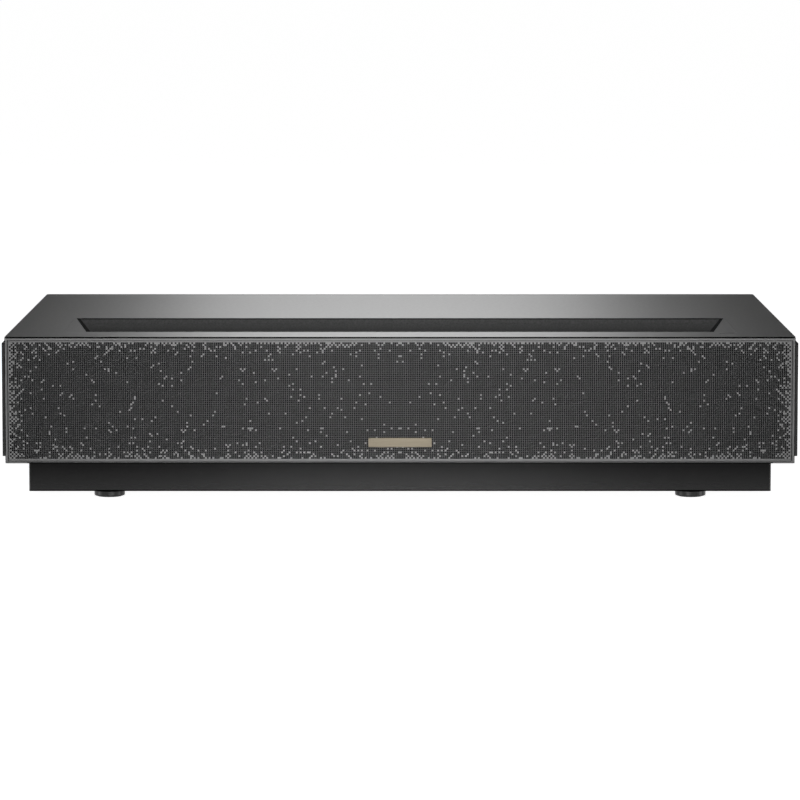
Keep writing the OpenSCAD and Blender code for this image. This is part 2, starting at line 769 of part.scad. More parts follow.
// Square frame with a round duct, and a motor plate held by four spokes
module fan_frame(i) color("#222326") fan_place(i) difference() {
    union() {
        difference() {
            translate([0, 0, fan_t / 2]) cube([fan_size, fan_size, fan_t], center = true);
            translate([0, 0, -1]) cylinder(d = fan_bore, h = fan_t + 2);
        }
        for (a = [45 : 90 : 315]) rotate(a)
            box([hub_d / 2 - 2, -2, 0], [fan_bore / 2 + 1, 2, 3]);
        cylinder(d = hub_d, h = 3);
    }
    translate([0, 0, 1]) cylinder(d = fan_axle + 2 * running, h = 4);
    for (x = [-1, 1], y = [-1, 1])
        translate([x * (fan_size / 2 - 4), y * (fan_size / 2 - 4), -1])
            cylinder(d = 4, h = fan_t + 2);
}

// A hub with swept, twisted blades, on an axle in the frame's motor plate
module fan_rotor(i) color("#3a3b3f") fan_place(i) {
    hub_z = 4;
    hub_h = fan_t - hub_z - 2;
    translate([0, 0, hub_z]) cylinder(d = hub_d, h = hub_h);
    translate([0, 0, 1.5]) cylinder(d = fan_axle, h = hub_z - 1);
    for (b = [0 : fan_blades - 1]) rotate(b * 360 / fan_blades)
        translate([0, 0, hub_z + 1]) linear_extrude(hub_h - 2, twist = -32, slices = 6, $fn = 8)
            translate([hub_d / 2 - 1.5, -0.8]) square([(fan_bore - hub_d) / 2, 1.6]);
}

/* ---- Sound ---- */

box_gap = 8;
box_x = button_at.x - switch_board_w / 2 - box_gap - box_w;
box_wall = 3;
box_z1 = flange_z - 3;
box_y = inner_front_y;
driver_z = (deck_z + box_z1) / 2;
driver_x = box_x + box_w / 2;
port_d = 14;

// A sealed box behind the grille with the driver's cut-out and a round port
module speaker_box(side) color("#18181a") sided(side) difference() {
    box([box_x, box_y, deck_z], [box_x + box_w, box_y + box_d, box_z1]);
    box([box_x + box_wall, box_y + box_wall, deck_z + box_wall],
        [box_x + box_w - box_wall, box_y + box_d - box_wall, box_z1 - box_wall]);
    translate([driver_x, 0, driver_z])
        y_bar(driver_d - 6 + 2 * sliding, box_y - 1, box_y + box_wall + 1);
    translate([box_x + port_d / 2 + 8, 0, driver_z])
        y_bar(port_d, box_y - 1, box_y + box_wall + 1);
}

// Basket, magnet, half-roll surround, cone and dust cap, turned as one profile
module driver(side) color("#2b2b2e") sided(side) translate([driver_x, box_y, driver_z])
    rotate([90, 0, 0]) rotate_extrude() {
        r = driver_d / 2;
        polygon([[0, -24], [18, -24], [18, -14], [r - 3.5, -2], [r - 3.5, 0], [r, 0], [r, 1.4],
            [r - 3, 1.4], [r - 5.5, 2.4], [r - 8, 1.4], [r - 8.5, 1], [11, -6], [0, -6]]);
        intersection() {
            translate([0, -16]) circle(14);
            translate([0, -6.5]) square([10, 6]);
        }
    }

/* ---- Electronics and sockets ---- */

// Main board under the sockets: its size, standoffs and parts
board_up = 8;
board_w = 210;
board_z = deck_z + board_up;
standoff_d = 6;
standoff_in = 7;
spreader = [37, 32, 16];
spreader_fins = 9;
spreader_pitch = 4;
chip_w = 18;
chip_h = 3.4;
cap_d = 6;
cap_h = 10;

module standoffs(x, y, up) for (x = x, y = y) translate([x, y, deck_z]) cylinder(d = standoff_d, h = up);

module main_board() color("#1d4730") {
    box([-board_w / 2, board_y, board_z], [board_w / 2, board_y + board_d, board_z + board_t]);
    standoffs([standoff_in - board_w / 2, board_w / 2 - standoff_in],
        [board_y + standoff_in, board_y + board_d - standoff_in], board_up);
    // Heat spreader over the processor
    translate([board_w / 2 - spreader.x - 10, board_y + 9, board_z]) {
        cube([spreader.x, spreader.y, 4]);
        for (i = [0 : spreader_fins - 1]) translate([1 + i * spreader_pitch, 1, 0])
            cube([1.5, spreader.y - 2, spreader.z]);
    }
    for (i = [0 : 3]) translate([35 - board_w / 2 + i * (chip_w + 12), board_y + 12, board_z])
        cube([chip_w, 14, chip_h]);
    for (i = [0 : 5]) translate([15 - board_w / 2 + i * 2 * cap_d, board_y + cap_d, board_z])
        cylinder(d = cap_d, h = cap_h);
}

// Power supply board behind the left fan: a coil, a transformer, capacitors and a heat sink
psu_w = 130;
psu_d = 120;
psu_up = 6;
psu_x = fan_t + 12 - inner_x;
psu_y = inner_rear_y - 32 - psu_d;
psu_cap_d = 22;
psu_cap_h = 36;
// Each block's place on the board and its size
psu_coil = [[20, 70], [36, 34, 34]];
psu_transformer = [[74, 64], [42, 38, 28]];
psu_sink = [[112, 14], [6, 44, 40]];

module power_supply() color("#26543a") {
    box([psu_x, psu_y, deck_z + psu_up], [psu_x + psu_w, psu_y + psu_d, deck_z + psu_up + board_t]);
    standoffs([psu_x + standoff_in, psu_x + psu_w - standoff_in],
        [psu_y + standoff_in, psu_y + psu_d - standoff_in], psu_up);
    translate([psu_x, psu_y, deck_z + psu_up]) {
        for (part = [psu_coil, psu_transformer, psu_sink]) translate(part[0]) cube(part[1]);
        for (i = [0 : 2]) translate([24 + i * (psu_cap_d + 8), psu_cap_d + 10, 0])
            cylinder(d = psu_cap_d, h = psu_cap_h);
    }
}

// A rectangular metal socket: shell round a cavity, with a tongue across it
module socket(x, z, size, depth, cavity, tongue) translate([x, rear_y - 0.3 - depth, z]) {
    difference() {
        box([-size.x / 2, 0, -size.y / 2], [size.x / 2, depth, size.y / 2]);
        box([-cavity.x / 2, 3, -cavity.y / 2], [cavity.x / 2, depth + 1, cavity.y / 2]);
    }
    if (tongue.y > 0)
        box([-tongue.x / 2, 2, -tongue.y / 2], [tongue.x / 2, depth - 2, tongue.y / 2]);
    box([-size.x / 2 + 1, 0, port_foot(z)],
        [size.x / 2 - 1, depth - wall - pocket, -size.y / 2 + 0.1]);
}

// The depth below a socket's middle at which it stands on the main board
function port_foot(z) = board_z + board_t - z;

module hdmi_port(x) color("#a6a8ab") socket(x, port_z, hdmi_size, 12, [14, 4.6], [10.6, 1.2]);
module usb_port() color("#a6a8ab") socket(usb_x, port_z, usb_size, 16, [12.6, 5.4], [11, 1.8]);
module lan_port() color("#9fa1a4") socket(lan_x, port_z, lan_size, 18, [12.2, 9], [0, 0]);
module optical_port() color("#141416")
    socket(optical_x, port_z, optical_size, 12, [6.4, 6.4], [0, 0]);

module audio_jack() color("#141416") translate([jack_x, 0, port_z]) difference() {
    union() {
        box([-jack_size.x / 2, rear_y - 14, -jack_size.y / 2],
            [jack_size.x / 2, rear_y - 0.3, jack_size.y / 2]);
        box([-jack_size.x / 2, rear_y - 14, port_foot(port_z)],
            [jack_size.x / 2, inner_rear_y - pocket, 0]);
    }
    y_bar(3.6, rear_y - 13, rear_y);
}

// A mains inlet with three pins in its cavity and a flange behind the rear panel
module power_inlet() color("#121214") translate([inlet_x, rear_y - 0.3, inlet_z]) {
    depth = 24;
    difference() {
        union() {
            box([-inlet_size.x / 2, -depth, -inlet_size.y / 2], [inlet_size.x / 2, 0, inlet_size.y / 2]);
            box([-inlet_size.x / 2 - 8, -6 - wall, -inlet_size.y / 2 - 3],
                [inlet_size.x / 2 + 8, 0.3 - wall, inlet_size.y / 2 + 3]);
        }
        box([-12, -17, -8], [12, 1, 8]);
    }
    for (x = [-7, 0, 7]) translate([x, -18, x == 0 ? 3 : -3]) cube_centred([2, 14, 4]);
}

module cube_centred(size) translate([-size.x / 2, 0, -size.z / 2]) cube(size);

top_cover();
side_cover(-1);  // left_side_cover
side_cover(1);  // right_side_cover
vent_panel(-1);  // left_vent_panel
vent_panel(1);  // right_vent_panel
rear_panel();
front_frame();
front_grille();
grille_cloth();
badge_plate();
base_cover();
chassis_plate();
well_trim();
light_well();
window_glass();
mirror_housing();
aspheric_mirror();
lens_barrel();
front_lens();
focus_ring();
focus_motor();
focus_pinion();
engine_housing();
engine_lid();
phosphor_wheel();
wheel_motor();
heat_sink();
heat_pipes();
fan_frame(0);  // left_fan_frame
fan_frame(1);  // right_front_fan_frame
fan_frame(2);  // right_rear_fan_frame
fan_rotor(0);  // left_fan_rotor
fan_rotor(1);  // right_front_fan_rotor
fan_rotor(2);  // right_rear_fan_rotor
speaker_box(-1);  // left_speaker_box
speaker_box(1);  // right_speaker_box
driver(-1);  // left_driver
driver(1);  // right_driver
main_board();
power_supply();
hdmi_port(hdmi_x[0]);  // hdmi_port_1
hdmi_port(hdmi_x[1]);  // hdmi_port_2
usb_port();
lan_port();
optical_port();
audio_jack();
power_inlet();
power_button();
button_board();
foot(0);  // front_left_foot
foot(1);  // front_right_foot
foot(2);  // rear_left_foot
foot(3);  // rear_right_foot
foot_pad(0);  // front_left_pad
foot_pad(1);  // front_right_pad
foot_pad(2);  // rear_left_pad
foot_pad(3);  // rear_right_pad
base_screws();
rear_screws();
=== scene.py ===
"""Looks of the home projector.

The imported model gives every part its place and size. This script gives each part the
finish of the real one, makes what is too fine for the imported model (the perforated
grille, the cloth behind it, the screws and the contacts in the sockets) and sets the
studio round it. Lengths are in metres, and finishes state their patterns in millimetres.
"""

from __future__ import annotations

import logging
import math
from dataclasses import dataclass
from enum import Enum
from typing import Any

import bmesh
import bpy
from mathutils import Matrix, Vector


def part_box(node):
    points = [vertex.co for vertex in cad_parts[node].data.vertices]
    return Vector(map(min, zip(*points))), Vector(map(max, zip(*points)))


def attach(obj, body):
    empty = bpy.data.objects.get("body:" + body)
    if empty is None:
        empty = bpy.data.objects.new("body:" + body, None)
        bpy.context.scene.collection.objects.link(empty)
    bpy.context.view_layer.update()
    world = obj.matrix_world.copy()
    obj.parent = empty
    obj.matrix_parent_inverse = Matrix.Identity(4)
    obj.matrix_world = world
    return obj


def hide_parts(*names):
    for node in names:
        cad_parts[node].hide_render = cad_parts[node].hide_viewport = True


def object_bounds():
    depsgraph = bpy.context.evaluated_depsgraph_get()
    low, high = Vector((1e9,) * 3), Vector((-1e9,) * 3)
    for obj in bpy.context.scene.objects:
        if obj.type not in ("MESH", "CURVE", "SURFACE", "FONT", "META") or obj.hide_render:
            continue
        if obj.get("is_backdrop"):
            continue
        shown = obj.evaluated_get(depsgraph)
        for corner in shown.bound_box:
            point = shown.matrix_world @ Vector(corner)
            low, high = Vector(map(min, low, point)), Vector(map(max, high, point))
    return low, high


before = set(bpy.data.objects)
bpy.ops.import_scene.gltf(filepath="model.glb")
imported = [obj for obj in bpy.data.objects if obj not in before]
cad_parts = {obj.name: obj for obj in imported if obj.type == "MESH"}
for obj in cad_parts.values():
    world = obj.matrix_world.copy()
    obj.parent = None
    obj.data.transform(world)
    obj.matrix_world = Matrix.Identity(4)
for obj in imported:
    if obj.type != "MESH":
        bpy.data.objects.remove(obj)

MM = 0.001
LOG = logging.getLogger("projector")
# Two numbers that belong together, such as a range or a width and a height
Pair = tuple[float, float]
# A box in a piece's own coordinates, by its two corners
Zone = tuple[tuple[float, float, float], tuple[float, float, float]]
# What a node's input takes: a value, a socket, or a node, whose first output is meant
Source = Any
# Further than any point of the object, for the open sides of a zone
FAR = 9.0
OPEN = (-FAR, FAR)
# Sockets of the colour mix node, which has one pair of inputs for each kind of value
MIX_A, MIX_B, MIX_RESULT = 6, 7, 2
# The output of the random value node that carries a plain number
RANDOM_NUMBER = 1
# The part of a noise's range that holds nearly all of its values
NOISE_RANGE = (0.3, 0.7)
# The specular level that a shader starts with
SPECULAR = 0.5
# The mark of the grille's blank cells
BLANK = "blank"
# Makes one number of a column's and a row's
COLUMN_STEP = 1000.0


class Side(Enum):
    """The two sides of the housing, by the words that begin their nodes' names."""

    LEFT = "left"
    RIGHT = "right"


class Grain(Enum):
    """The direction in which a metal was brushed, drawn or rolled."""

    ALONG_X = (0.02, 1.0, 1.0)
    ALONG_Y = (1.0, 0.02, 1.0)
    ALONG_Z = (1.0, 1.0, 0.02)
    NONE = (1.0, 1.0, 1.0)


def linear(colour: str, level: float = 1.0) -> tuple[float, float, float, float]:
    """Turns an sRGB hex colour into linear light.

    Args:
        colour: Six hex digits after a hash.
        level: What the light is multiplied by.

    Returns:
        Red, green, blue and an alpha of 1.
    """
    channels = [int(colour[i:i + 2], 16) / 255 for i in (1, 3, 5)]
    red, green, blue = (
        level * (c / 12.92 if c <= 0.04045 else ((c + 0.055) / 1.055) ** 2.4)
        for c in channels
    )
    return red, green, blue, 1.0


def around(mean: float, stray: Pair) -> Pair:
    """Gives the range of a value that strays below and above its mean."""
    return mean - stray[0], mean + stray[1]


def zone(x: Pair = OPEN, y: Pair = OPEN, z: Pair = OPEN) -> Zone:
    """Makes a box from its reach along each axis, open along those not given."""
    return (x[0], y[0], z[0]), (x[1], y[1], z[1])


def through(x: float, z: float, width: float, height: float) -> Zone:
    """Makes a zone of a width and height about a point, open from front to back."""
    return zone((x - width / 2, x + width / 2), z=(z - height / 2, z + height / 2))


def show(name: str, data: Any) -> bpy.types.Object:
    """Makes an object and links it to the scene.

    Args:
        name: Its name.
        data: Its mesh, lamp or camera.

    Returns:
        The object.
    """
    made = bpy.data.objects.new(name, data)
    bpy.context.scene.collection.objects.link(made)
    return made


def show_form(name: str, form: bmesh.types.BMesh) -> bpy.types.Object:
    """Makes an object of a form, and frees the form.

    Args:
        name: The object's name.
        form: The form.

    Returns:
        The object.
    """
    mesh = bpy.data.meshes.new(name)
    form.to_mesh(mesh)
    form.free()
    return show(name, mesh)


def evaluated(maker: bpy.types.Object) -> bpy.types.Mesh:
    """Runs an object's modifiers and returns the plain mesh that they make."""
    graph = bpy.context.evaluated_depsgraph_get()
    return bpy.data.meshes.new_from_object(maker.evaluated_get(graph), depsgraph=graph)


class Tree:
    """A tree of shader or geometry nodes in the making."""

    def __init__(self, tree: bpy.types.NodeTree) -> None:
        """Takes over a tree and empties it."""
        self.tree = tree
        tree.nodes.clear()

    def connect(self, socket: bpy.types.NodeSocket, value: Source | list[Source]) -> None:
        """Sets or links an input.

        Args:
            socket: The input.
            value: What goes into it, or a list where it takes many.
        """
        for source in value if isinstance(value, list) else [value]:
            if isinstance(source, bpy.types.Node):
                source = source.outputs[0]
            if isinstance(source, bpy.types.NodeSocket):
                self.tree.links.new(source, socket)
            else:
                socket.default_value = source

    def add(
        self, kind: str, inputs: dict[Any, Source] | None = None, **settings: Any
    ) -> bpy.types.Node:
        """Adds a node, with its settings, values and links.

        Args:
            kind: The node's type.
            inputs: What goes into each input, by its name or number.
            **settings: The node's own properties.

        Returns:
            The new node.
        """
        node = self.tree.nodes.new(kind)
        for name, value in settings.items():
            setattr(node, name, value)
        for key, value in (inputs or {}).items():
            self.connect(node.inputs[key], value)
        return node

    def rays(self, *kinds: str) -> Source:
        """Tells some kinds of ray from the others.

        Args:
            *kinds: The kinds, as the outputs of Light Path.

        Returns:
            1 for them and 0 for the others.
        """
        paths = self.add("ShaderNodeLightPath").outputs
        found: Source = paths[kinds[0]]
        for kind in kinds[1:]:
            found = self.add("ShaderNodeMath", {0: found, 1: paths[kind]}, operation="MAXIMUM")
        return found


# ---- Finishes ----


class Surface(Tree):
    """A material in the making: its main shader and the piece's own coordinates."""

    def __init__(self, name: str) -> None:
        """Starts a material with one Principled shader.

        Args:
            name: The material's name.
        """
        self.material = bpy.data.materials.new(name)
        self.material.use_nodes = True
        super().__init__(self.material.node_tree)
        self.shader = self.add("ShaderNodeBsdfPrincipled")
        self.output = self.add("ShaderNodeOutputMaterial", {"Surface": self.shader})
        self.place = self.add("ShaderNodeTexCoord").outputs["Object"]
        self.axes = self.add("ShaderNodeSeparateXYZ", {0: self.place}).outputs

    def feed(self, inputs: dict[str, Source]) -> None:
        """Sets or links inputs of the main shader, by their names."""
        for name, value in inputs.items():
            self.connect(self.shader.inputs[name], value)

    def speckle(
        self,
        size_mm: float,
        low: float = 0.0,
        high: float = 1.0,
        detail: float = 2.0,
        grain: Grain = Grain.NONE,
    ) -> bpy.types.Node:
        """Makes an irregular pattern of soft spots or, with a grain, of fine lines.

        Args:
            size_mm: The size of a spot, or the spacing of the lines.
            low: The value in the dark spots.
            high: The value in the light ones.
            detail: How many finer octaves the pattern has.
            grain: The direction of the lines.

        Returns:
            The node that carries the pattern.
        """
        place = self.place
        if grain is not Grain.NONE:
            place = self.add("ShaderNodeMapping", {"Vector": place, "Scale": grain.value})
        noise = self.add("ShaderNodeTexNoise",
            {"Vector": place, "Scale": 1 / (size_mm * MM), "Detail": detail})
        return self.add("ShaderNodeMapRange",
            {"Value": noise, "From Min": NOISE_RANGE[0], "From Max": NOISE_RANGE[1],
             "To Min": low, "To Max": high})

    def blend(self, first: Source, second: Source, share: Source) -> Source:
        """Mixes two colours.

        Args:
            first: The colour where the share is 0.
            second: The colour where it is 1.
            share: How much of the second shows. A plain 0 adds no node.

        Returns:
            The mixed colour.
        """
        if isinstance(share, float):
            return first
        return self.add("ShaderNodeMix", {0: share, MIX_A: first, MIX_B: second},
            data_type="RGBA").outputs[MIX_RESULT]

    def shades(self, colour: str, light: Pair, share: Source) -> Source:
        """Varies a colour between two levels of its light."""
        return self.blend(linear(colour, light[0]), linear(colour, light[1]), share)

    def ramp(self, share: Source, low: float, high: float) -> Source:
        """Turns a share from 0 to 1 into a value between two others.

        Args:
            share: The share. A plain 0 adds no node.
            low: The value where the share is 0.
            high: The value where it is 1.

        Returns:
            The value.
        """
        if isinstance(share, float):
            return low
        return self.add("ShaderNodeMapRange", {"Value": share, "To Min": low, "To Max": high})

    def raise_by(self, height: Source, depth_mm: float) -> None:
        """Gives the surface a relief, from a pattern of 0 to 1 and how high it stands."""
        self.feed({"Normal": self.add("ShaderNodeBump",
            {"Height": height, "Distance": depth_mm * MM})})

    def above(self, level: float) -> bpy.types.Node:
        """Tells the points over a height: 1 there, 0 elsewhere."""
        return self.add("ShaderNodeMath", {0: self.axes[2], 1: level}, operation="GREATER_THAN")

    def climb(self, start: Pair, end: Pair) -> bpy.types.Node:
        """Makes a value that changes with height.

        Args:
            start: A height in metres and the value there and under it.
            end: A greater height and the value there and above it.

        Returns:
            The node that carries the value.
        """
        return self.add("ShaderNodeMapRange",
            {"Value": self.axes[2], "From Min": start[0], "From Max": end[0],
             "To Min": start[1], "To Max": end[1]})

    def within(self, zones: tuple[Zone, ...]) -> Source:
        """Tells the points in any of some boxes.

        Args:
            zones: The boxes, in the piece's own coordinates.

        Returns:
            1 in them and 0 outside, or a plain 0 where there are none.
        """
        anywhere: Source = 0.0
        for low, high in zones:
            inside: Source = 1.0
            for axis, start, end in zip(self.axes, low, high):
                near = self.add("ShaderNodeMath",
                    {0: axis, 1: (start + end) / 2, 2: (end - start) / 2}, operation="COMPARE")
                inside = self.add("ShaderNodeMath", {0: inside, 1: near}, operation="MULTIPLY")
            anywhere = self.add("ShaderNodeMath", {0: anywhere, 1: inside}, operation="MAXIMUM")
        return anywhere


@dataclass(frozen=True)
class Finish:
    """What every finish has: the material's name, its colour and its roughness.

    Where a finish varies, light is the two levels between which its colour goes, stray is
    how far its roughness goes below and above the mean, and depth_mm is the height of its
    relief.
    """

    name: str
    colour: str
    roughness: float

    def material(self) -> bpy.types.Material:
        """Finds the material, or makes it the first time.

        Returns:
            The material.
        """
        made = bpy.data.materials.get(self.name)
        if made is None:
            surface = Surface(self.name)
            self.make(surface)
            made = surface.material
        return made

    def make(self, surface: Surface) -> None:
        """Sets up the shader of a material in the making."""
        raise NotImplementedError


@dataclass(frozen=True)
class MetallicPaint(Finish):
    """Baked metallic paint over sheet metal: flakes under a satin coat.

    The flakes give it a faint sparkle and let it fall from light to dark along the light.
    """

    metallic: float = 0.6
    # Real flakes are 0.05 mm wide, and are drawn this coarse to show at all
    flake_mm: float = 0.9
    peel_mm: float = 3.0
    depth_mm: float = 0.002
    light: Pair = (0.93, 1.07)
    stray: Pair = (0.02, 0.02)
    # In these zones the colour is a painted shade, dark and with no metal or specular, so that
    # seams and edges read as shadow
    painted_shade_zones: tuple[Zone, ...] = ()
    painted_shade_colour: str = "#0a0a0a"
    # In these zones, and on the faces with the named attribute, a highlight is painted: they read
    # lighter by the level given
    polished: tuple[Zone, ...] = ()
    mark: str = ""
    polish: float = 1.45

    def make(self, surface: Surface) -> None:
        """Mixes two shades by the flakes, paints in the shade and the highlights of its zones, and
        adds the coat's slight waviness.

        Args:
            surface: The material in the making.
        """
        painted_shade_zones = surface.within(self.painted_shade_zones)
        painted_highlight_colour = linear(self.colour, self.polish)
        shade = surface.shades(self.colour, self.light, surface.speckle(self.flake_mm, detail=3.0))
        # Painted highlight: the zones in polished and the faces with the mark take a lighter colour
        shade = surface.blend(shade, painted_highlight_colour, surface.within(self.polished))
        if self.mark:
            marked = surface.add("ShaderNodeAttribute", attribute_name=self.mark).outputs["Fac"]
            shade = surface.blend(shade, painted_highlight_colour, marked)
        # Painted shade: these zones take the dark colour and lose their metal and specular
        surface.feed({
            "Base Color": surface.blend(shade, linear(self.painted_shade_colour), painted_shade_zones),
            "Metallic": surface.ramp(painted_shade_zones, self.metallic, 0.0),
            "Roughness": surface.speckle(self.peel_mm, *around(self.roughness, self.stray)),
            "Specular IOR Level": surface.ramp(painted_shade_zones, SPECULAR, 0.0),
        })
        surface.raise_by(surface.speckle(self.peel_mm), self.depth_mm)


@dataclass(frozen=True)
class MouldedPlastic(Finish):
    """ABS or polycarbonate from a spark-eroded mould: matt, with a fine even grain."""

    grain_mm: float = 0.7
    depth_mm: float = 0.02
    cloud_mm: float = 18.0
    light: Pair = (0.9, 1.1)
    stray: Pair = (0.04, 0.04)
    specular: float = SPECULAR
    # Zones painted black with no specular, a painted shade
    dull: tuple[Zone, ...] = ()
    dull_shade_colour: str = "#070707"
    # Heights and specular levels between which the sheen is painted: strong at the first and
    # weak at the second, a painted shade that changes with height
    painted_sheen_low: Pair | None = None
    matt: Pair = (1.0, 0.0)

    def make(self, surface: Surface) -> None:
        """Adds the mould's grain and a slow change of shade across the part.

        Args:
            surface: The material in the making.
        """
        # Painted shade: the dull zones turn black, and the sheen changes with height
        dull = surface.within(self.dull)
        shade = surface.shades(self.colour, self.light, surface.speckle(self.cloud_mm))
        shine = surface.climb(self.painted_sheen_low, self.matt) if self.painted_sheen_low else self.specular
        if self.dull:
            shine = surface.add("ShaderNodeMath", {0: surface.ramp(dull, 1.0, 0.0), 1: shine},
                operation="MULTIPLY")
        surface.feed({
            "Base Color": surface.blend(shade, linear(self.dull_shade_colour), dull),
            "Roughness": surface.speckle(3 * self.grain_mm, *around(self.roughness, self.stray)),
            "Specular IOR Level": shine,
        })
        surface.raise_by(surface.speckle(self.grain_mm, detail=4.0), self.depth_mm)


@dataclass(frozen=True)
class WellPlastic(MouldedPlastic):
    """Light-absorbing dark grey with a coarse leather grain, painted shade deeper down, and a lip
    painted black as a shade line.
    """

    light: Pair = (0.75, 1.25)
    lip_colour: str = "#0b0b0b"
    lip_roughness: float = 0.9
    lip_specular: float = 0.05
    lip_level: float = 0.0
    # Painted shade, darker deeper down the walls: how dark it gets at the bottom, the height over
    # which it fades out towards the mouth, and the share of that height above it
    cover: float = 0.52
    shade_fade_height: float = 0.0095
    unshaded_share: float = 0.2

    def make(self, surface: Surface) -> None:
        """Grains the walls, paints shade deeper down them, and paints the lip black as a shade
        line.

        Args:
            surface: The material in the making.
        """
        # The lip is painted black, a painted shade line along the well's edge
        lip = surface.above(self.lip_level)
        cells = surface.add("ShaderNodeTexVoronoi",
            {"Vector": surface.place, "Scale": 1 / (self.grain_mm * MM)}, feature="SMOOTH_F1")
        # Painted shade: the walls darken towards black further down
        coat = surface.climb((self.lip_level - self.shade_fade_height, self.cover),
            (self.lip_level - self.unshaded_share * self.shade_fade_height, 0.0))
        black = linear(self.lip_colour)
        shade = surface.blend(surface.shades(self.colour, self.light, cells), black, coat)
        surface.feed({
            "Base Color": surface.blend(shade, black, lip),
            "Roughness": surface.ramp(lip, self.roughness, self.lip_roughness),
            "Specular IOR Level": surface.ramp(lip, self.specular, self.lip_specular),
        })
        flat = surface.add("ShaderNodeMath", {0: cells, 1: lip}, operation="MAXIMUM")
        surface.raise_by(flat, self.depth_mm)


@dataclass(frozen=True)
class BrushedMetal(Finish):
    """Brushed, drawn or rolled metal: fine lines that stretch the highlights across them."""

    grain: Grain = Grain.ALONG_X
    line_mm: float = 0.4
    metallic: float = 1.0
    depth_mm: float = 0.004
    light: Pair = (0.85, 1.1)
    stray: Pair = (0.06, 0.06)

    def make(self, surface: Surface) -> None:
        """Draws the lines in shade, roughness and relief.

        Args:
            surface: The material in the making.
        """
        lines = surface.speckle(self.line_mm, detail=4.0, grain=self.grain)
        surface.feed({
            "Base Color": surface.shades(self.colour, self.light, lines),
            "Metallic": self.metallic,
            "Roughness": surface.speckle(self.line_mm, *around(self.roughness, self.stray), 4.0,
                self.grain),
        })
        surface.raise_by(lines, self.depth_mm)


@dataclass(frozen=True)
class SocketSkin(Finish):
    """Drawn metal and black nylon in one part: a shell round its tongue, or pins in a body."""

    nylon: str = "#0e0e10"
    nylon_roughness: float = 0.55
    # The zones, and which of the two fills them
    zones: tuple[Zone, ...] = ()
    metal_inside: bool = False
    line_mm: float = 0.5
    depth_mm: float = 0.004
    light: Pair = (0.85, 1.1)

    def make(self, surface: Surface) -> None:
        """Draws fine lines in the metal and turns the rest into matt nylon.

        Args:
            surface: The material in the making.
        """
        inside, outside = (1.0, 0.0) if self.metal_inside else (0.0, 1.0)
        metal = surface.ramp(surface.within(self.zones), outside, inside)
        lines = surface.speckle(self.line_mm, detail=4.0, grain=Grain.ALONG_Y)
        drawn = surface.shades(self.colour, self.light, lines)
        surface.feed({
            "Base Color": surface.blend(linear(self.nylon), drawn, metal),
            "Metallic": metal,
            "Roughness": surface.ramp(metal, self.nylon_roughness, self.roughness),
        })
        surface.raise_by(lines, self.depth_mm)


@dataclass(frozen=True)
class CastMetal(Finish):
    """Die-cast aluminium: a dull grey skin with a fine pebbled texture."""

    pebble_mm: float = 1.1
    depth_mm: float = 0.05
    cloud_mm: float = 22.0
    metallic: float = 0.9
    light: Pair = (0.8, 1.08)
    stray: Pair = (0.05, 0.08)

    def make(self, surface: Surface) -> None:
        """Adds the pebbles and darker clouds where the metal cooled first.

        Args:
            surface: The material in the making.
        """
        clouds = surface.speckle(self.cloud_mm, detail=3.0)
        surface.feed({
            "Base Color": surface.shades(self.colour, self.light, clouds),
            "Metallic": self.metallic,
            "Roughness": surface.speckle(2 * self.pebble_mm, *around(self.roughness, self.stray)),
        })
        surface.raise_by(surface.speckle(self.pebble_mm, detail=3.0), self.depth_mm)


@dataclass(frozen=True)
class ZincPlate(Finish):
    """Zinc-plated sheet steel: pale crystals that each catch the light differently."""

    spangle_mm: float = 9.0
    light: Pair = (0.8, 1.1)
    stray: Pair = (0.08, 0.1)

    def make(self, surface: Surface) -> None:
        """Gives each crystal its own shade and roughness.

        Args:
            surface: The material in the making.
        """
        crystals = surface.add("ShaderNodeTexVoronoi",
            {"Vector": surface.place, "Scale": 1 / (self.spangle_mm * MM)}).outputs["Color"]
        shade = surface.add("ShaderNodeSeparateColor", {0: crystals})
        surface.feed({
            "Base Color": surface.shades(self.colour, self.light, shade),
            "Metallic": 1.0,
            "Roughness": surface.ramp(shade, *around(self.roughness, self.stray)),
        })


@dataclass(frozen=True)
class CoatedGlass(Finish):
    """Optical glass with an anti-reflection coat: clear, with a faint coloured sheen."""

    film_nm: float = 110.0
    film_ior: float = 1.38
    glass_ior: float = 1.52
    dust_mm: float = 6.0
    stray: Pair = (0.0, 0.02)

    def make(self, surface: Surface) -> None:
        """Makes the glass clear under its thin film, with a trace of dust in the polish.

        Args:
            surface: The material in the making.
        """
        surface.feed({
            "Base Color": linear(self.colour),
            "Transmission Weight": 1.0,
            "IOR": self.glass_ior,
            "Roughness": surface.speckle(self.dust_mm, *around(self.roughness, self.stray)),
            "Thin Film Thickness": self.film_nm,
            "Thin Film IOR": self.film_ior,
        })


@dataclass(frozen=True)
class MirrorCoat(Finish):
    """First-surface aluminium on a polished moulding: almost all light comes back."""

    haze_mm: float = 30.0
    stray: Pair = (0.0, 0.03)

    def make(self, surface: Surface) -> None:
        """Keeps the polish near perfect, with a slight haze in broad patches.

        Args:
            surface: The material in the making.
        """
        surface.feed({
            "Base Color": linear(self.colour),
            "Metallic": 1.0,
            "Roughness": surface.speckle(self.haze_mm, *around(self.roughness, self.stray)),
        })


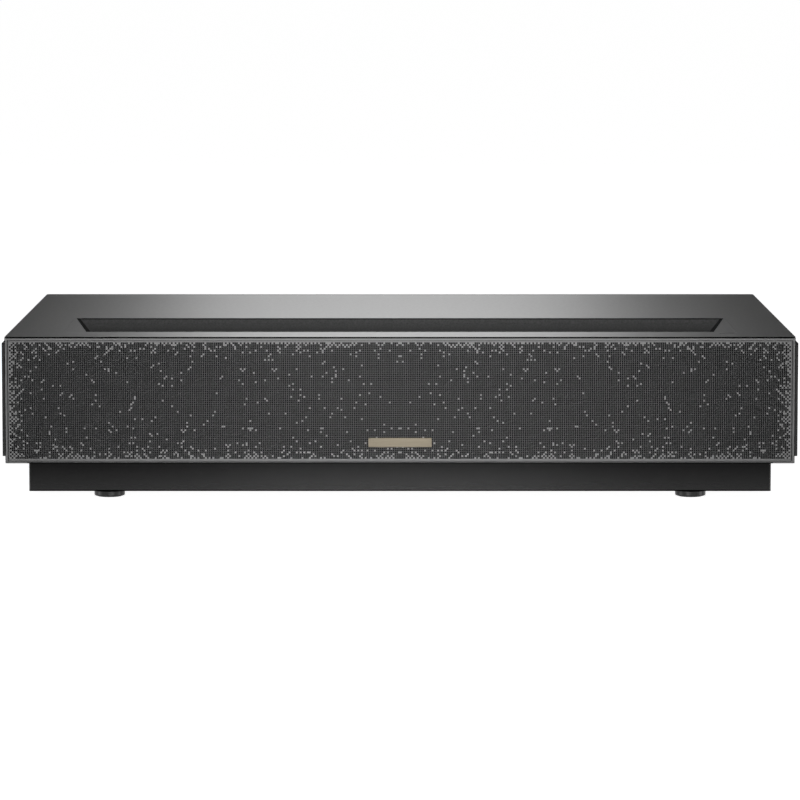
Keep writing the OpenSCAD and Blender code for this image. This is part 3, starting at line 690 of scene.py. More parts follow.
@dataclass(frozen=True)
class WovenCloth(Finish):
    """Open polyester weave that lets sound through: matt threads with dark gaps between."""

    # The real thread spacing is 0.25 mm, and is drawn twice as coarse to show at all
    thread_mm: float = 0.5
    depth_mm: float = 0.1
    light: Pair = (0.4, 1.2)
    sheen: float = 0.2
    specular: float = 0.2

    def make(self, surface: Surface) -> None:
        """Crosses two sets of threads, which run along X and Z.

        Args:
            surface: The material in the making.
        """
        threads = []
        for axis in (surface.axes[0], surface.axes[2]):
            turn = surface.add("ShaderNodeMath", {0: axis, 1: math.tau / (self.thread_mm * MM)},
                operation="MULTIPLY")
            wave = surface.add("ShaderNodeMath", {0: turn}, operation="SINE")
            threads.append(surface.add("ShaderNodeMapRange", {"Value": wave, "From Min": -1.0}))
        weave = surface.add("ShaderNodeMath", dict(enumerate(threads)), operation="MAXIMUM")
        surface.feed({
            "Base Color": surface.shades(self.colour, self.light, weave),
            "Roughness": self.roughness,
            "Sheen Weight": self.sheen,
            "Specular IOR Level": self.specular,
        })
        surface.raise_by(weave, self.depth_mm)


@dataclass(frozen=True)
class CircuitBoard(Finish):
    """Glass-fibre board under green solder mask, with tinned pads and black parts on it."""

    board_top: float = 0.0
    parts_colour: str = "#1a1a1c"
    # The tracks' spacing and height, how long one runs and how wide the gaps are, in spacings,
    # and how far each row is set against the one before
    track_mm: float = 1.6
    depth_mm: float = 0.02
    run: float = 6.0
    gap: float = 0.2
    offset: float = 0.37
    # Levels of light of the mask over bare board, over copper and in the gaps
    levels: tuple[float, float, float] = (0.8, 1.0, 1.7)
    # What stands higher than this over the board is one of the parts on it
    clear: float = 0.05 * MM
    coat: float = 0.3

    def make(self, surface: Surface) -> None:
        """Draws the copper tracks under the mask and turns what stands on the board black.

        Args:
            surface: The material in the making.
        """
        spacing = self.track_mm * MM
        colours = zip(("Color1", "Color2", "Mortar"), self.levels)
        tracks = surface.add("ShaderNodeTexBrick",
            {"Vector": surface.place, "Scale": 1.0, "Brick Width": self.run * spacing,
             "Row Height": spacing, "Mortar Size": self.gap * spacing,
             **{name: linear(self.colour, level) for name, level in colours}}, offset=self.offset)
        parts = surface.above(self.board_top + self.clear)
        surface.feed({
            "Base Color": surface.blend(tracks, linear(self.parts_colour), parts),
            "Roughness": self.roughness,
            "Coat Weight": self.coat,
        })
        surface.raise_by(tracks.outputs["Fac"], self.depth_mm)


@dataclass(frozen=True)
class PhosphorDisc(Finish):
    """A polished aluminium disc with a ring of yellow phosphor near its edge."""

    ring_colour: str = "#e0bd3a"
    ring_roughness: float = 0.8
    # The shaft's place along X and Z, and the ring's inner radius
    centre: Pair = (0.0, 0.0)
    ring_inner: float = 0.0
    powder_mm: float = 0.3
    depth_mm: float = 0.01

    def make(self, surface: Surface) -> None:
        """Lays the phosphor where the distance from the shaft is large enough.

        Args:
            surface: The material in the making.
        """
        flat = surface.add("ShaderNodeCombineXYZ", {0: surface.axes[0], 2: surface.axes[2]})
        distance = surface.add("ShaderNodeVectorMath",
            {0: flat, 1: (self.centre[0], 0.0, self.centre[1])}, operation="DISTANCE")
        ring = surface.add("ShaderNodeMath", {0: distance.outputs["Value"], 1: self.ring_inner},
            operation="GREATER_THAN")
        surface.feed({
            "Base Color": surface.blend(linear(self.colour), linear(self.ring_colour), ring),
            "Metallic": surface.ramp(ring, 1.0, 0.0),
            "Roughness": surface.ramp(ring, self.roughness, self.ring_roughness),
        })
        surface.raise_by(surface.speckle(self.powder_mm), self.depth_mm)


# The trim round the light well takes the same paint on a finer sheet, a little duller
TRIM_PAINT = MetallicPaint("satin graphite trim paint", "#6e6e6e", 0.42, 0.8)
# Same paint on the thin perforated sheet, with a painted highlight on its blank cells:
# their colour is lighter
GRILLE_PAINT = MetallicPaint("satin grey sheet paint", "#6c6c6c", 0.5, 0.45, mark=BLANK, polish=1.3)
# Fewer flakes on the sides, which stay even from end to end
SIDE_PAINT = MetallicPaint("satin grey side paint", "#616161", 0.48, 0.5)
BUTTON_PAINT = MetallicPaint("satin grey button paint", "#757575", 0.42, 0.6)
# Acoustic cloth: nearly black, so that the grille's holes read as depth
ACOUSTIC_CLOTH = WovenCloth("black acoustic polyester", "#1c1c1e", 0.9)
# Champagne anodising over brushed aluminium: warm, with lines from end to end
BADGE_METAL = BrushedMetal("brushed champagne anodised aluminium", "#5f584b", 0.36, metallic=0.7)
# Plastics: what shows is even and matt, and what is hidden is darker and coarser
VENT_PLASTIC = MouldedPlastic("dark grey moulded ABS", "#383838", 0.55, 0.8)
REAR_PLASTIC = MouldedPlastic("charcoal moulded ABS", "#2d2d2d", 0.55, 0.8)
INNER_PLASTIC = MouldedPlastic("black glass-filled nylon", "#151517", 0.65, 1.0)
FAN_PLASTIC = MouldedPlastic("black moulded PBT", "#1a1a1c", 0.45, 0.6)
SOCKET_PLASTIC = MouldedPlastic("black socket nylon", "#101012", 0.5)
FOOT_RUBBER = MouldedPlastic("black moulded rubber", "#121212", 0.85, 0.9, 0.03)
CONE_PAPER = MouldedPlastic("pressed black cone paper", "#1c1c1e", 0.8, 1.5, 0.05)
GEAR_RESIN = MouldedPlastic("ivory acetal", "#dcd7c6", 0.35, depth_mm=0.004)
# Glass and mirror: a faint coloured sheen on the one, nearly all light back from the other
WINDOW_GLASS = CoatedGlass("coated window glass", "#c8d2d6", 0.02)
LENS_GLASS = CoatedGlass("coated lens glass", "#dbe6e8", 0.0, film_nm=150.0)
MIRROR_COAT = MirrorCoat("first-surface aluminium coat", "#e6e8ea", 0.01)
# Metals inside: each one's highlights are drawn out across the way it was worked
BLACK_ALLOY = BrushedMetal("black anodised aluminium", "#1d1d20", 0.4, Grain.NONE, 0.6, 0.8)
CHASSIS_STEEL = ZincPlate("zinc-plated sheet steel", "#a9adb2", 0.38)
CAST_ALLOY = CastMetal("die-cast aluminium", "#8c9094", 0.5)
FIN_ALLOY = BrushedMetal("rolled aluminium sheet", "#b9bcc0", 0.35, Grain.ALONG_Z)
COPPER_PIPE = BrushedMetal("drawn copper", "#c77f55", 0.3, Grain.ALONG_Y, 0.8)
MOTOR_STEEL = BrushedMetal("drawn steel can", "#a3a6aa", 0.33, Grain.ALONG_Y, 0.5)
CONTACT_GOLD = BrushedMetal("gold-plated contact", "#d9b25c", 0.25, Grain.ALONG_Y, 0.3)
# Turned and dark anodised: the light shows as upright streaks on the cup
FOOT_METAL = BrushedMetal("turned dark anodised aluminium", "#343434", 0.3, Grain.ALONG_Z, 0.7)
SCREW_STEEL = BrushedMetal("black oxide steel", "#1c1c1e", 0.42, Grain.NONE, 0.5, 0.9)


def dress(finish: Finish, *nodes: str) -> None:
    """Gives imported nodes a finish, through their objects' material slots.

    Args:
        finish: The finish.
        *nodes: The nodes' names.
    """
    for name in nodes:
        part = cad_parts[name]
        if not part.material_slots:
            part.data.materials.append(None)
        for slot in part.material_slots:
            slot.link = "OBJECT"
            slot.material = finish.material()


def settle(piece: bpy.types.Object, turn: float, at: Vector) -> None:
    """Turns and moves a piece's mesh into its place, and leaves the object at the origin.

    Args:
        piece: The piece.
        turn: The turn about X, in degrees.
        at: Where its own origin goes.
    """
    piece.rotation_euler = (math.radians(turn), 0.0, 0.0)
    piece.location = at
    bpy.context.view_layer.update()
    piece.data.transform(piece.matrix_world)
    piece.rotation_euler = (0.0, 0.0, 0.0)
    piece.location = (0.0, 0.0, 0.0)
    bpy.context.view_layer.update()


def place(piece: bpy.types.Object, slot: str, replaced: str = "") -> bpy.types.Object:
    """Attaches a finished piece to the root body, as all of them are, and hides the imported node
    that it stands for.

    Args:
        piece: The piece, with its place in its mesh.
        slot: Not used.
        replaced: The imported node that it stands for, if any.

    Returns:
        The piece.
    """
    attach(piece, "root")
    if replaced:
        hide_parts(replaced)
    LOG.info("%s: %d faces", piece.name, len(piece.data.polygons))
    return piece


# ---- Geometry Nodes ----


class Pattern(Tree):
    """A Geometry Nodes tree with named inputs, which is turned into a plain mesh."""

    def __init__(self, name: str) -> None:
        """Starts an empty tree.

        Args:
            name: The name of the piece that it makes.
        """
        self.name = name
        super().__init__(bpy.data.node_groups.new(name, "GeometryNodeTree"))
        self.tree.interface.new_socket(
            "Geometry", in_out="OUTPUT", socket_type="NodeSocketGeometry")
        self.entry = self.add("NodeGroupInput")
        self.values: dict[str, Any] = {}

    def given(self, name: str, value: Any) -> bpy.types.NodeSocket:
        """Adds a named input.

        Args:
            name: What the input is.
            value: Its value: a whole number, a length or a material.

        Returns:
            The socket that carries it in the tree.
        """
        kinds = {int: "Int", float: "Float", bpy.types.Material: "Material"}
        socket = self.tree.interface.new_socket(
            name, in_out="INPUT", socket_type="NodeSocket" + kinds[type(value)])
        self.values[socket.identifier] = value
        return self.entry.outputs[name]

    def bar(self, x: Source, y: Source, z: Source) -> bpy.types.Node:
        """Makes a block of the given size about the origin."""
        size = self.add("ShaderNodeCombineXYZ", {0: x, 1: y, 2: z})
        return self.add("GeometryNodeMeshCube", {"Size": size})

    def mesh(self, shapes: list[Source], finish: Finish) -> bpy.types.Object:
        """Joins the shapes, ends the tree, runs it once and keeps the result as a plain mesh.

        Args:
            shapes: What the tree makes.
            finish: The finish of the whole piece.

        Returns:
            The piece.
        """
        joined = self.add("GeometryNodeJoinGeometry", {0: shapes})
        real = self.add("GeometryNodeRealizeInstances", {"Geometry": joined})
        dressed = self.add("GeometryNodeSetMaterial",
            {"Geometry": real, "Material": self.given("Material", finish.material())})
        self.add("NodeGroupOutput", {"Geometry": dressed})
        maker = show(self.name + "_maker", bpy.data.meshes.new(self.name + "_maker"))
        modifier = maker.modifiers.new(self.name, "NODES")
        modifier.node_group = self.tree
        for identifier, value in self.values.items():
            modifier[identifier] = value
        mesh = evaluated(maker)
        mesh.name = self.name
        bpy.data.objects.remove(maker)
        return show(self.name, mesh)


# ---- The sub-assemblies ----


@dataclass
class Housing:
    """The painted covers, the slotted side panels, the rear panel and the power button."""

    # How far down its front edge the top keeps its paint, below which it is painted shade, and how
    # far back from the front a strip of painted shade runs, so that the seam reads dark
    edge: float = 0.02 * MM
    front_shade_depth: float = 2.8 * MM
    # The painted shade ends this far in front of the trim, whose edges keep the paint
    clear: float = 1.0 * MM

    def dress(self) -> None:
        """Gives each cover its paint or plastic."""
        low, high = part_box("top_cover")
        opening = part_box("well_trim")[0].y - self.clear
        # The flakes of the top's satin graphite paint carry its broad highlight
        # Painted shade: the top's edges and a strip along its front are dark, so the seam reads as
        # shadow
        dress(MetallicPaint("satin graphite metallic paint", "#707070", 0.4, 0.82, painted_shade_zones=(
            zone(y=(-FAR, opening), z=(-FAR, high.z - self.edge)),
            zone(y=(-FAR, low.y + self.front_shade_depth)),
        )), "top_cover")
        dress(TRIM_PAINT, "well_trim")
        dress(REAR_PLASTIC, "rear_panel")
        dress(BUTTON_PAINT, "power_button")
        for side in Side:
            dress(SIDE_PAINT, side.value + "_side_cover")
            dress(VENT_PLASTIC, side.value + "_vent_panel")


@dataclass(frozen=True)
class Holes:
    """What the bars, the margin and the blank cells of the perforated sheet share."""

    pattern: Pattern
    # The numbers of columns and rows, the distance between holes and the sheet's thickness
    counts: tuple[Source, Source]
    pitch: Source
    depth: Source
    # The width and height of the whole field of holes
    field: Pair


@dataclass
class Grille:
    """The front: a finely perforated sheet in its frame, the cloth behind it and the badge.

    Some holes are left blank: most of them along the border, fewer and fewer towards the
    middle, and the same on both sides of the centre line.
    """

    columns: int = 420
    rows: int = 63
    pitch: float = 1.412 * MM
    # Widths of the upright and the level bars: the light from above widens the level ones
    bar: Pair = (0.18 * MM, 0.09 * MM)
    # How far the bars run into the margin, both ends together
    overlap: float = 0.4 * MM
    # The field of holes sits this much above the middle of the sheet
    rise: float = 0.08 * MM
    # Level bars lie one step behind the upright ones, blank cells two and the corners of a
    # group three, so that no two faces coincide; the sheet is thinner by all the steps
    step: float = 0.02 * MM
    steps: int = 4
    # Widths of the painted shade on the frame round the sheet, on its top and outer edges,
    # and along its edge over the plinth, where shadow falls in the gaps
    line: float = 0.35 * MM
    top_edge: float = 0.17 * MM
    side_edge: float = 0.6 * MM
    low_edge: float = 0.86 * MM
    seed: int = 11
    # Shares of cells that are blank everywhere, and that start a group of three
    scattered: float = 0.022
    clusters: float = 0.0006
    # Blank cells favour one colour of a checkerboard, which flips from patch to patch: the
    # weights of its two colours, and a patch's size in cells
    weights: Pair = (0.15, 1.85)
    patch: Pair = (24.0, 12.0)
    # Share of blank cells in the outermost row or column, and its fade from cell to cell
    top_blank: Pair = (0.31, 0.64)
    bottom_blank: Pair = (0.26, 0.69)
    side_blank: Pair = (0.52, 0.71)
    # The size of the cloth's faces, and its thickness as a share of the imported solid's
    cloth_cell: float = 6.0 * MM
    cloth_share: float = 0.8

    def sheet(self) -> bpy.types.Object:
        """Builds the perforated sheet from its bars, its blank cells and its margin.

        Returns:
            The sheet.
        """
        low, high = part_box("front_grille")
        size, middle = high - low, (low + high) / 2
        pattern = Pattern("perforated_grille")
        holes = Holes(
            pattern,
            (pattern.given("Columns", self.columns), pattern.given("Rows", self.rows)),
            pattern.given("Pitch", self.pitch),
            pattern.given("Thickness", size.y - self.steps * self.step),
            (self.columns * self.pitch, self.rows * self.pitch),
        )
        shapes = self.bars(holes) + self.margin(holes, (size.x, size.z)) + self.blanks(holes)
        piece = pattern.mesh(shapes, GRILLE_PAINT)
        settle(piece, 90.0, middle + Vector((0.0, 0.0, self.rise)))
        return place(piece, "grille_paint", "front_grille")

    def bars(self, holes: Holes) -> list[Source]:
        """Lays the upright and the level bars between the holes.

        Args:
            holes: The sheet's tree and measures.

        Returns:
            The two sets of bars.
        """
        made = []
        add = holes.pattern.add
        for axis, name in enumerate(("Upright bar", "Level bar")):
            start = [0.0, 0.0, -axis * self.step]
            start[axis] = -holes.field[axis] / 2
            sides = [holes.field[1 - axis] + self.overlap] * 2
            sides[axis] = holes.pattern.given(name, self.bar[axis])
            many = add("ShaderNodeMath", {0: holes.counts[axis], 1: 1.0}, operation="ADD")
            line = add("GeometryNodeMeshLine",
                {"Count": many, "Start Location": tuple(start),
                 "Offset": add("ShaderNodeCombineXYZ", {axis: holes.pitch})}, mode="OFFSET")
            made.append(add("GeometryNodeInstanceOnPoints",
                {"Points": line, "Instance": holes.pattern.bar(*sides, holes.depth)}))
        return made

    def margin(self, holes: Holes, sheet: Pair) -> list[Source]:
        """Closes the sheet round the field of holes.

        Args:
            holes: The sheet's tree and measures.
            sheet: The sheet's width and height.

        Returns:
            The four strips.
        """
        side = (sheet[0] - holes.field[0] + self.bar[0]) / 2
        strips = []
        for sign in (-1, 1):
            end = (sheet[1] - holes.field[1] + self.bar[1]) / 2 - sign * self.rise
            for width, height, x, y in (
                (side, sheet[1], sign * (sheet[0] - side) / 2, 0.0),
                (sheet[0] - 2 * side, end, 0.0, sign * (sheet[1] - end) / 2),
            ):
                strips.append(holes.pattern.add("GeometryNodeTransform",
                    {"Geometry": holes.pattern.bar(width, height, holes.depth),
                     "Translation": (x, y - self.rise, self.step)}))
        return strips

    def blanks(self, holes: Holes) -> list[Source]:
        """Fills the blank cells, singly and in small groups.

        Args:
            holes: The sheet's tree and measures.

        Returns:
            The single cells and the groups.
        """
        add = holes.pattern.add
        across, up = (length / 2 for length in holes.field)
        cells = add("GeometryNodeMeshGrid",
            {"Size X": 2 * across - self.pitch, "Size Y": 2 * up - self.pitch,
             "Vertices X": holes.counts[0], "Vertices Y": holes.counts[1]})
        parts = add("ShaderNodeSeparateXYZ", {0: add("GeometryNodeInputPosition")}).outputs
        reach = add("ShaderNodeMath", {0: parts[0]}, operation="ABSOLUTE")
        # Each cell's distance from the nearest side, the top and the bottom, in cells, and
        # the share of cells that stay open, which falls towards each of them
        distances = []
        is_open: Source = 1.0 - self.scattered
        for value, sign, start, (edge, fade) in (
            (reach, -1.0, across, self.side_blank),
            (parts[1], -1.0, up, self.top_blank),
            (parts[1], 1.0, up, self.bottom_blank),
        ):
            along = add("ShaderNodeMath", {0: value, 1: sign, 2: start}, operation="MULTIPLY_ADD")
            cell = add("ShaderNodeMath", {0: along, 1: holes.pitch}, operation="DIVIDE")
            distances.append(add("ShaderNodeMath", {0: cell}, operation="FLOOR"))
            faded = add("ShaderNodeMath", {0: fade, 1: distances[-1]}, operation="POWER")
            share = add("ShaderNodeMath", {0: faded, 1: -edge, 2: 1.0}, operation="MULTIPLY_ADD")
            is_open = add("ShaderNodeMath", {0: is_open, 1: share}, operation="MULTIPLY")
        # Cells that mirror each other share a number, and so their luck
        luck = self.luck(holes, distances[0], distances[2], "Seed", self.seed)
        blank = add("ShaderNodeMath", {0: 1.0, 1: is_open}, operation="SUBTRACT")
        weight = self.weight(holes, distances[0], distances[2])
        share = add("ShaderNodeMath", {0: blank, 1: weight}, operation="MULTIPLY")
        single = add("FunctionNodeCompare", {0: luck, 1: share}, operation="LESS_THAN")
        grouped = add("FunctionNodeCompare", {0: luck, 1: 1.0 - self.clusters},
            operation="GREATER_THAN")
        plug = add("GeometryNodeStoreNamedAttribute",
            {"Geometry": holes.pattern.bar(holes.pitch, holes.pitch, holes.depth),
             "Name": BLANK, "Value": 1.0}, domain="FACE")
        plugs = [add("GeometryNodeTransform", {"Geometry": plug, "Translation":
            (x * self.pitch, y * self.pitch, -(2 + abs(x)) * self.step)})
            for x, y in ((0, 0), (-1, 1), (1, 1))]
        group = add("GeometryNodeJoinGeometry", {0: plugs})
        return [add("GeometryNodeInstanceOnPoints",
            {"Points": cells, "Selection": chosen, "Instance": shape})
            for chosen, shape in ((single, plugs[0]), (grouped, group))]

    def luck(self, holes: Holes, column: Source, row: Source, name: str, seed: int) -> Source:
        """Draws a number from 0 to 1 for each cell or patch.

        Args:
            holes: The sheet's tree and measures.
            column: Its column, counted from the nearest side.
            row: Its row, counted from the bottom.
            name: The name of the tree's input for the seed.
            seed: The seed.

        Returns:
            The number.
        """
        number = holes.pattern.add("ShaderNodeMath", {0: column, 1: COLUMN_STEP, 2: row},
            operation="MULTIPLY_ADD")
        return holes.pattern.add("FunctionNodeRandomValue",
            {"ID": number, "Seed": holes.pattern.given(name, seed)},
            data_type="FLOAT").outputs[RANDOM_NUMBER]

    def weight(self, holes: Holes, column: Source, row: Source) -> Source:
        """Weighs each cell by its colour on the checkerboard.

        Args:
            holes: The sheet's tree and measures.
            column: The cell's distance from the nearest side, in cells.
            row: The cell's distance from the bottom, in cells.

        Returns:
            The weight.
        """
        add = holes.pattern.add
        patches = [add("ShaderNodeMath", {0: add("ShaderNodeMath", {0: cell, 1: size},
            operation="DIVIDE")}, operation="FLOOR")
            for cell, size in zip((column, row), self.patch)]
        flip = self.luck(holes, *patches, "Patch seed", self.seed + 1)
        flip = add("ShaderNodeMath", {0: flip}, operation="ROUND")
        colour = add("ShaderNodeMath", {0: column, 1: row}, operation="ADD")
        colour = add("ShaderNodeMath", {0: colour, 1: flip}, operation="ADD")
        colour = add("ShaderNodeMath", {0: colour, 1: 2.0}, operation="FLOORED_MODULO")
        light, heavy = self.weights
        return add("ShaderNodeMath", {0: colour, 1: heavy - light, 2: light},
            operation="MULTIPLY_ADD")

    def cloth(self) -> bpy.types.Object:
        """Builds the acoustic cloth as one stretched sheet of even thickness.

        Returns:
            The cloth.
        """
        low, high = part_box("grille_cloth")
        size, middle = high - low, (low + high) / 2
        counts = [max(2, round(length / self.cloth_cell)) for length in (size.x, size.z)]
        grid = bmesh.new()
        bmesh.ops.create_grid(grid, x_segments=counts[0], y_segments=counts[1], size=0.5)
        for vert in grid.verts:
            vert.co = Vector((vert.co.x * size.x, vert.co.y * size.z, 0.0))
        piece = show_form("stretched_cloth", grid)
        piece.data.materials.append(ACOUSTIC_CLOTH.material())
        solid = piece.modifiers.new("thickness", "SOLIDIFY")
        solid.thickness = size.y * self.cloth_share
        solid.offset = 0.0
        piece.data = evaluated(piece)
        piece.modifiers.clear()
        settle(piece, 90.0, middle)
        place(piece, "acoustic_cloth", "grille_cloth")
        return piece

    def dress(self) -> None:
        """Paints the frame and brushes the badge."""
        low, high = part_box("front_frame")
        inner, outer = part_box("front_grille")
        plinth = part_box("base_cover")[1].x
        # The frame's paint has fewer flakes, so it stays even from end to end
        # Painted shade darkens the frame round the sheet, along its top and outer edges and over
        # the plinth, and a painted highlight lightens its top band
        dress(MetallicPaint("satin grey frame paint", "#616161", 0.5, 0.45, painted_shade_zones=(
            zone((inner.x - self.line, outer.x + self.line), z=(inner.z, outer.z + self.line)),
            zone((-FAR, low.x + self.side_edge)),
            zone((high.x - self.side_edge, FAR)),
            zone((-plinth, plinth), z=(-FAR, low.z + self.low_edge)),
            zone(z=(high.z - self.top_edge, FAR)),
        ), polished=(zone(z=(outer.z, FAR)),)), "front_frame")
        dress(BADGE_METAL, "badge_plate")


@dataclass
class LightWell:
    """The sunken well in the top, its window and the optics under it."""

    # How far down the lip is painted black, as a painted shade line
    lip_depth: float = 0.4 * MM

    def dress(self) -> None:
        """Grains the well and coats the optics."""
        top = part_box("light_well")[1].z
        dress(WellPlastic("grained light-absorbing ABS", "#565656", 0.7, 1.3, 0.12,
            specular=0.3, lip_level=top - self.lip_depth), "light_well")
        dress(WINDOW_GLASS, "window_glass")
        dress(LENS_GLASS, "front_lens")
        dress(MIRROR_COAT, "aspheric_mirror")
        dress(INNER_PLASTIC, "mirror_housing")
        dress(BLACK_ALLOY, "lens_barrel", "focus_ring")
        dress(GEAR_RESIN, "focus_pinion")
        dress(MOTOR_STEEL, "focus_motor")


@dataclass
class Engine:
    """The laser engine, its phosphor wheel and all that cools it."""

    # The inner radius of the phosphor ring, as a share of the wheel's radius
    hub_share: float = 0.62
    fans: tuple[str, ...] = ("left_fan", "right_front_fan", "right_rear_fan")

    def dress(self) -> None:
        """Gives the castings, fins, pipes and fans their metals and plastics."""
        low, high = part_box("phosphor_wheel")
        middle = (low + high) / 2
        dress(CAST_ALLOY, "engine_housing", "engine_lid")
        dress(PhosphorDisc("phosphor on polished aluminium", "#c9ccd0", 0.15,
            centre=(middle.x, middle.z), ring_inner=self.hub_share * (high.x - low.x) / 2),
            "phosphor_wheel")
        dress(MOTOR_STEEL, "wheel_motor")
        dress(FIN_ALLOY, "heat_sink")
        dress(COPPER_PIPE, "heat_pipes")
        for fan in self.fans:
            dress(FAN_PLASTIC, fan + "_frame", fan + "_rotor")


@dataclass
class Sound:
    """The two sealed speaker boxes and their drivers."""

    def dress(self) -> None:
        """Gives the boxes black nylon and the drivers pressed paper."""
        for side in Side:
            dress(INNER_PLASTIC, side.value + "_speaker_box")
            dress(CONE_PAPER, side.value + "_driver")


@dataclass(frozen=True)
class Port:
    """A kind of socket: its nodes, its outer height, its opening and its contacts."""

    nodes: tuple[str, ...]
    height: float
    opening: Pair
    # How many contacts, their spacing, and each one's width and length
    count: int
    spacing: float
    contact: Pair
    # The row's height above the socket's middle, its slope in degrees, and its distance
    # from the socket's mouth
    rise: float
    tilt: float = 0.0
    inset: float = 2.5 * MM


@dataclass
class Electronics:
    """The boards and the sockets, with the contacts inside them."""

    # Each board's upper face: above the node's lowest point, or where negative, under its
    # highest
    boards: tuple[tuple[str, float], ...] = (
        ("main_board", 9.6 * MM),
        ("power_supply", 7.6 * MM),
        ("button_board", -4.5 * MM),
    )
    ports: tuple[Port, ...] = (
        Port(("hdmi_port_1", "hdmi_port_2"), 5.6 * MM, (14.0 * MM, 4.6 * MM), 10, 1.0 * MM,
            (0.5 * MM, 6.5 * MM), 0.66 * MM),
        Port(("usb_port",), 7.0 * MM, (12.6 * MM, 5.4 * MM), 4, 2.4 * MM,
            (1.2 * MM, 8.0 * MM), -0.96 * MM),
        Port(("lan_port",), 14.0 * MM, (12.2 * MM, 9.0 * MM), 8, 1.02 * MM,
            (0.45 * MM, 9.0 * MM), 1.8 * MM, -18.0, 3.0 * MM),
    )
    contact_t: float = 0.15 * MM
    # The inlet's pins: their spacing, how far the middle one stands up and the others
    # hang down, and a pin's width and height
    pin_gap: float = 7.0 * MM
    pin_rise: float = 3.0 * MM
    pin: Pair = (2.1 * MM, 4.1 * MM)

    def contacts(self, node: str, port: Port) -> bpy.types.Object:
        """Lays a row of gold contacts in a socket.

        Args:
            node: The socket's node.
            port: The kind of socket.

        Returns:
            The row.
        """
        low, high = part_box(node)
        pattern = Pattern(node + "_contacts")
        gap = pattern.add("ShaderNodeCombineXYZ", {0: pattern.given("Spacing", port.spacing)})
        line = pattern.add("GeometryNodeMeshLine",
            {"Count": pattern.given("Count", port.count), "Offset": gap,
             "Start Location": (-(port.count - 1) * port.spacing / 2, 0.0, 0.0)}, mode="OFFSET")
        width, length = port.contact
        blade = pattern.bar(pattern.given("Width", width), pattern.given("Length", length),
            pattern.given("Thickness", self.contact_t))
        row = pattern.add("GeometryNodeInstanceOnPoints", {"Points": line, "Instance": blade})
        piece = pattern.mesh([row], CONTACT_GOLD)
        settle(piece, port.tilt, Vector(((low.x + high.x) / 2, high.y - port.inset - length / 2,
            high.z - port.height / 2 + port.rise)))
        return place(piece, "socket_metal")

    def build(self) -> None:
        """Makes the contacts of the sockets that show them."""
        for port in self.ports:
            for node in port.nodes:
                self.contacts(node, port)

    def dress(self) -> None:
        """Gives each board the mask and each socket its metal or plastic."""
        for node, face in self.boards:
            low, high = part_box(node)
            top = (low if face > 0 else high).z + face
            dress(CircuitBoard("solder mask of the " + node, "#1f5a3a", 0.4, top), node)
        shell, sockets = [], []
        for port in self.ports:
            width, height = (size - 2 * self.contact_t for size in port.opening)
            for node in port.nodes:
                low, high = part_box(node)
                sockets.append(node)
                shell.append(
                    through((low.x + high.x) / 2, high.z - port.height / 2, width, height))
        dress(SocketSkin("tin-plated steel round black nylon", "#b4b6b9", 0.32,
            zones=tuple(shell)), *sockets)
        low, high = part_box("power_inlet")
        middle = (low + high) / 2
        pins = tuple(through(middle.x + turn * self.pin_gap,
            middle.z + self.pin_rise * (1 - 2 * abs(turn)), *self.pin) for turn in (-1, 0, 1))
        dress(SocketSkin("nickel-plated pins in black nylon", "#b9b7b0", 0.28, zones=pins,
            metal_inside=True), "power_inlet")
        dress(SOCKET_PLASTIC, "optical_port", "audio_jack")


@dataclass
class Fasteners:
    """Cross-recessed screws: six up into the plinth and four through the rear panel."""

    head: float = 6.0 * MM
    head_t: float = 1.4 * MM
    # How much smaller than its foot the head's flat top is, at each side
    taper: float = 0.35 * MM
    shank: float = 3.0 * MM
    slot: Pair = (0.9 * MM, 3.6 * MM)
    slot_depth: float = 0.8 * MM
    head_sides: int = 32
    shank_sides: int = 24

    def screws(
        self, node: str, counts: tuple[int, int], size: Pair, length: float
    ) -> bpy.types.Object:
        """Lays screws on a rectangle, heads towards +Z of the pattern.

        Args:
            node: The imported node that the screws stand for.
            counts: How many along each side of the rectangle.
            size: The rectangle's size.
            length: The length of a shank.

        Returns:
            The screws as one piece, still about the origin.
        """
        pattern = Pattern("recessed_" + node)
        head = pattern.given("Head", self.head / 2)
        cap = pattern.add("GeometryNodeMeshCone",
            {"Vertices": self.head_sides, "Radius Top": self.head / 2 - self.taper,
             "Radius Bottom": head, "Depth": pattern.given("Head thickness", self.head_t)})
        cuts = [pattern.add("GeometryNodeTransform",
            {"Geometry": pattern.bar(x, y, 2 * self.slot_depth),
             "Translation": (0.0, 0.0, self.head_t)}) for x, y in (self.slot, self.slot[::-1])]
        recessed = pattern.add("GeometryNodeMeshBoolean", {"Mesh 1": cap, "Mesh 2": cuts},
            operation="DIFFERENCE", solver="EXACT")
        body = pattern.add("GeometryNodeMeshCylinder",
            {"Vertices": self.shank_sides, "Radius": pattern.given("Shank", self.shank / 2),
             "Depth": length})
        lowered = pattern.add("GeometryNodeTransform",
            {"Geometry": body, "Translation": (0.0, 0.0, -length / 2)})
        screw = pattern.add("GeometryNodeJoinGeometry", {0: [recessed, lowered]})
        grid = pattern.add("GeometryNodeMeshGrid",
            {"Size X": size[0], "Size Y": size[1], "Vertices X": counts[0],
             "Vertices Y": counts[1]})
        laid = pattern.add("GeometryNodeInstanceOnPoints", {"Points": grid, "Instance": screw})
        return pattern.mesh([laid], SCREW_STEEL)

    def build(self) -> None:
        """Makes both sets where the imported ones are: heads down, and heads to the rear."""
        for node, counts, turn, axis in (("base_screws", (3, 2), 180.0, 2),
                ("rear_screws", (2, 2), -90.0, 1)):
            low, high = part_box(node)
            size, at = high - low, (low + high) / 2
            at[axis] = low.z + self.head_t if axis == 2 else high.y - self.head_t
            piece = self.screws(node, counts, (size.x - self.head, size[3 - axis] - self.head),
                size[axis] - self.head_t)
            settle(piece, turn, at)
            place(piece, "screw_steel", node)


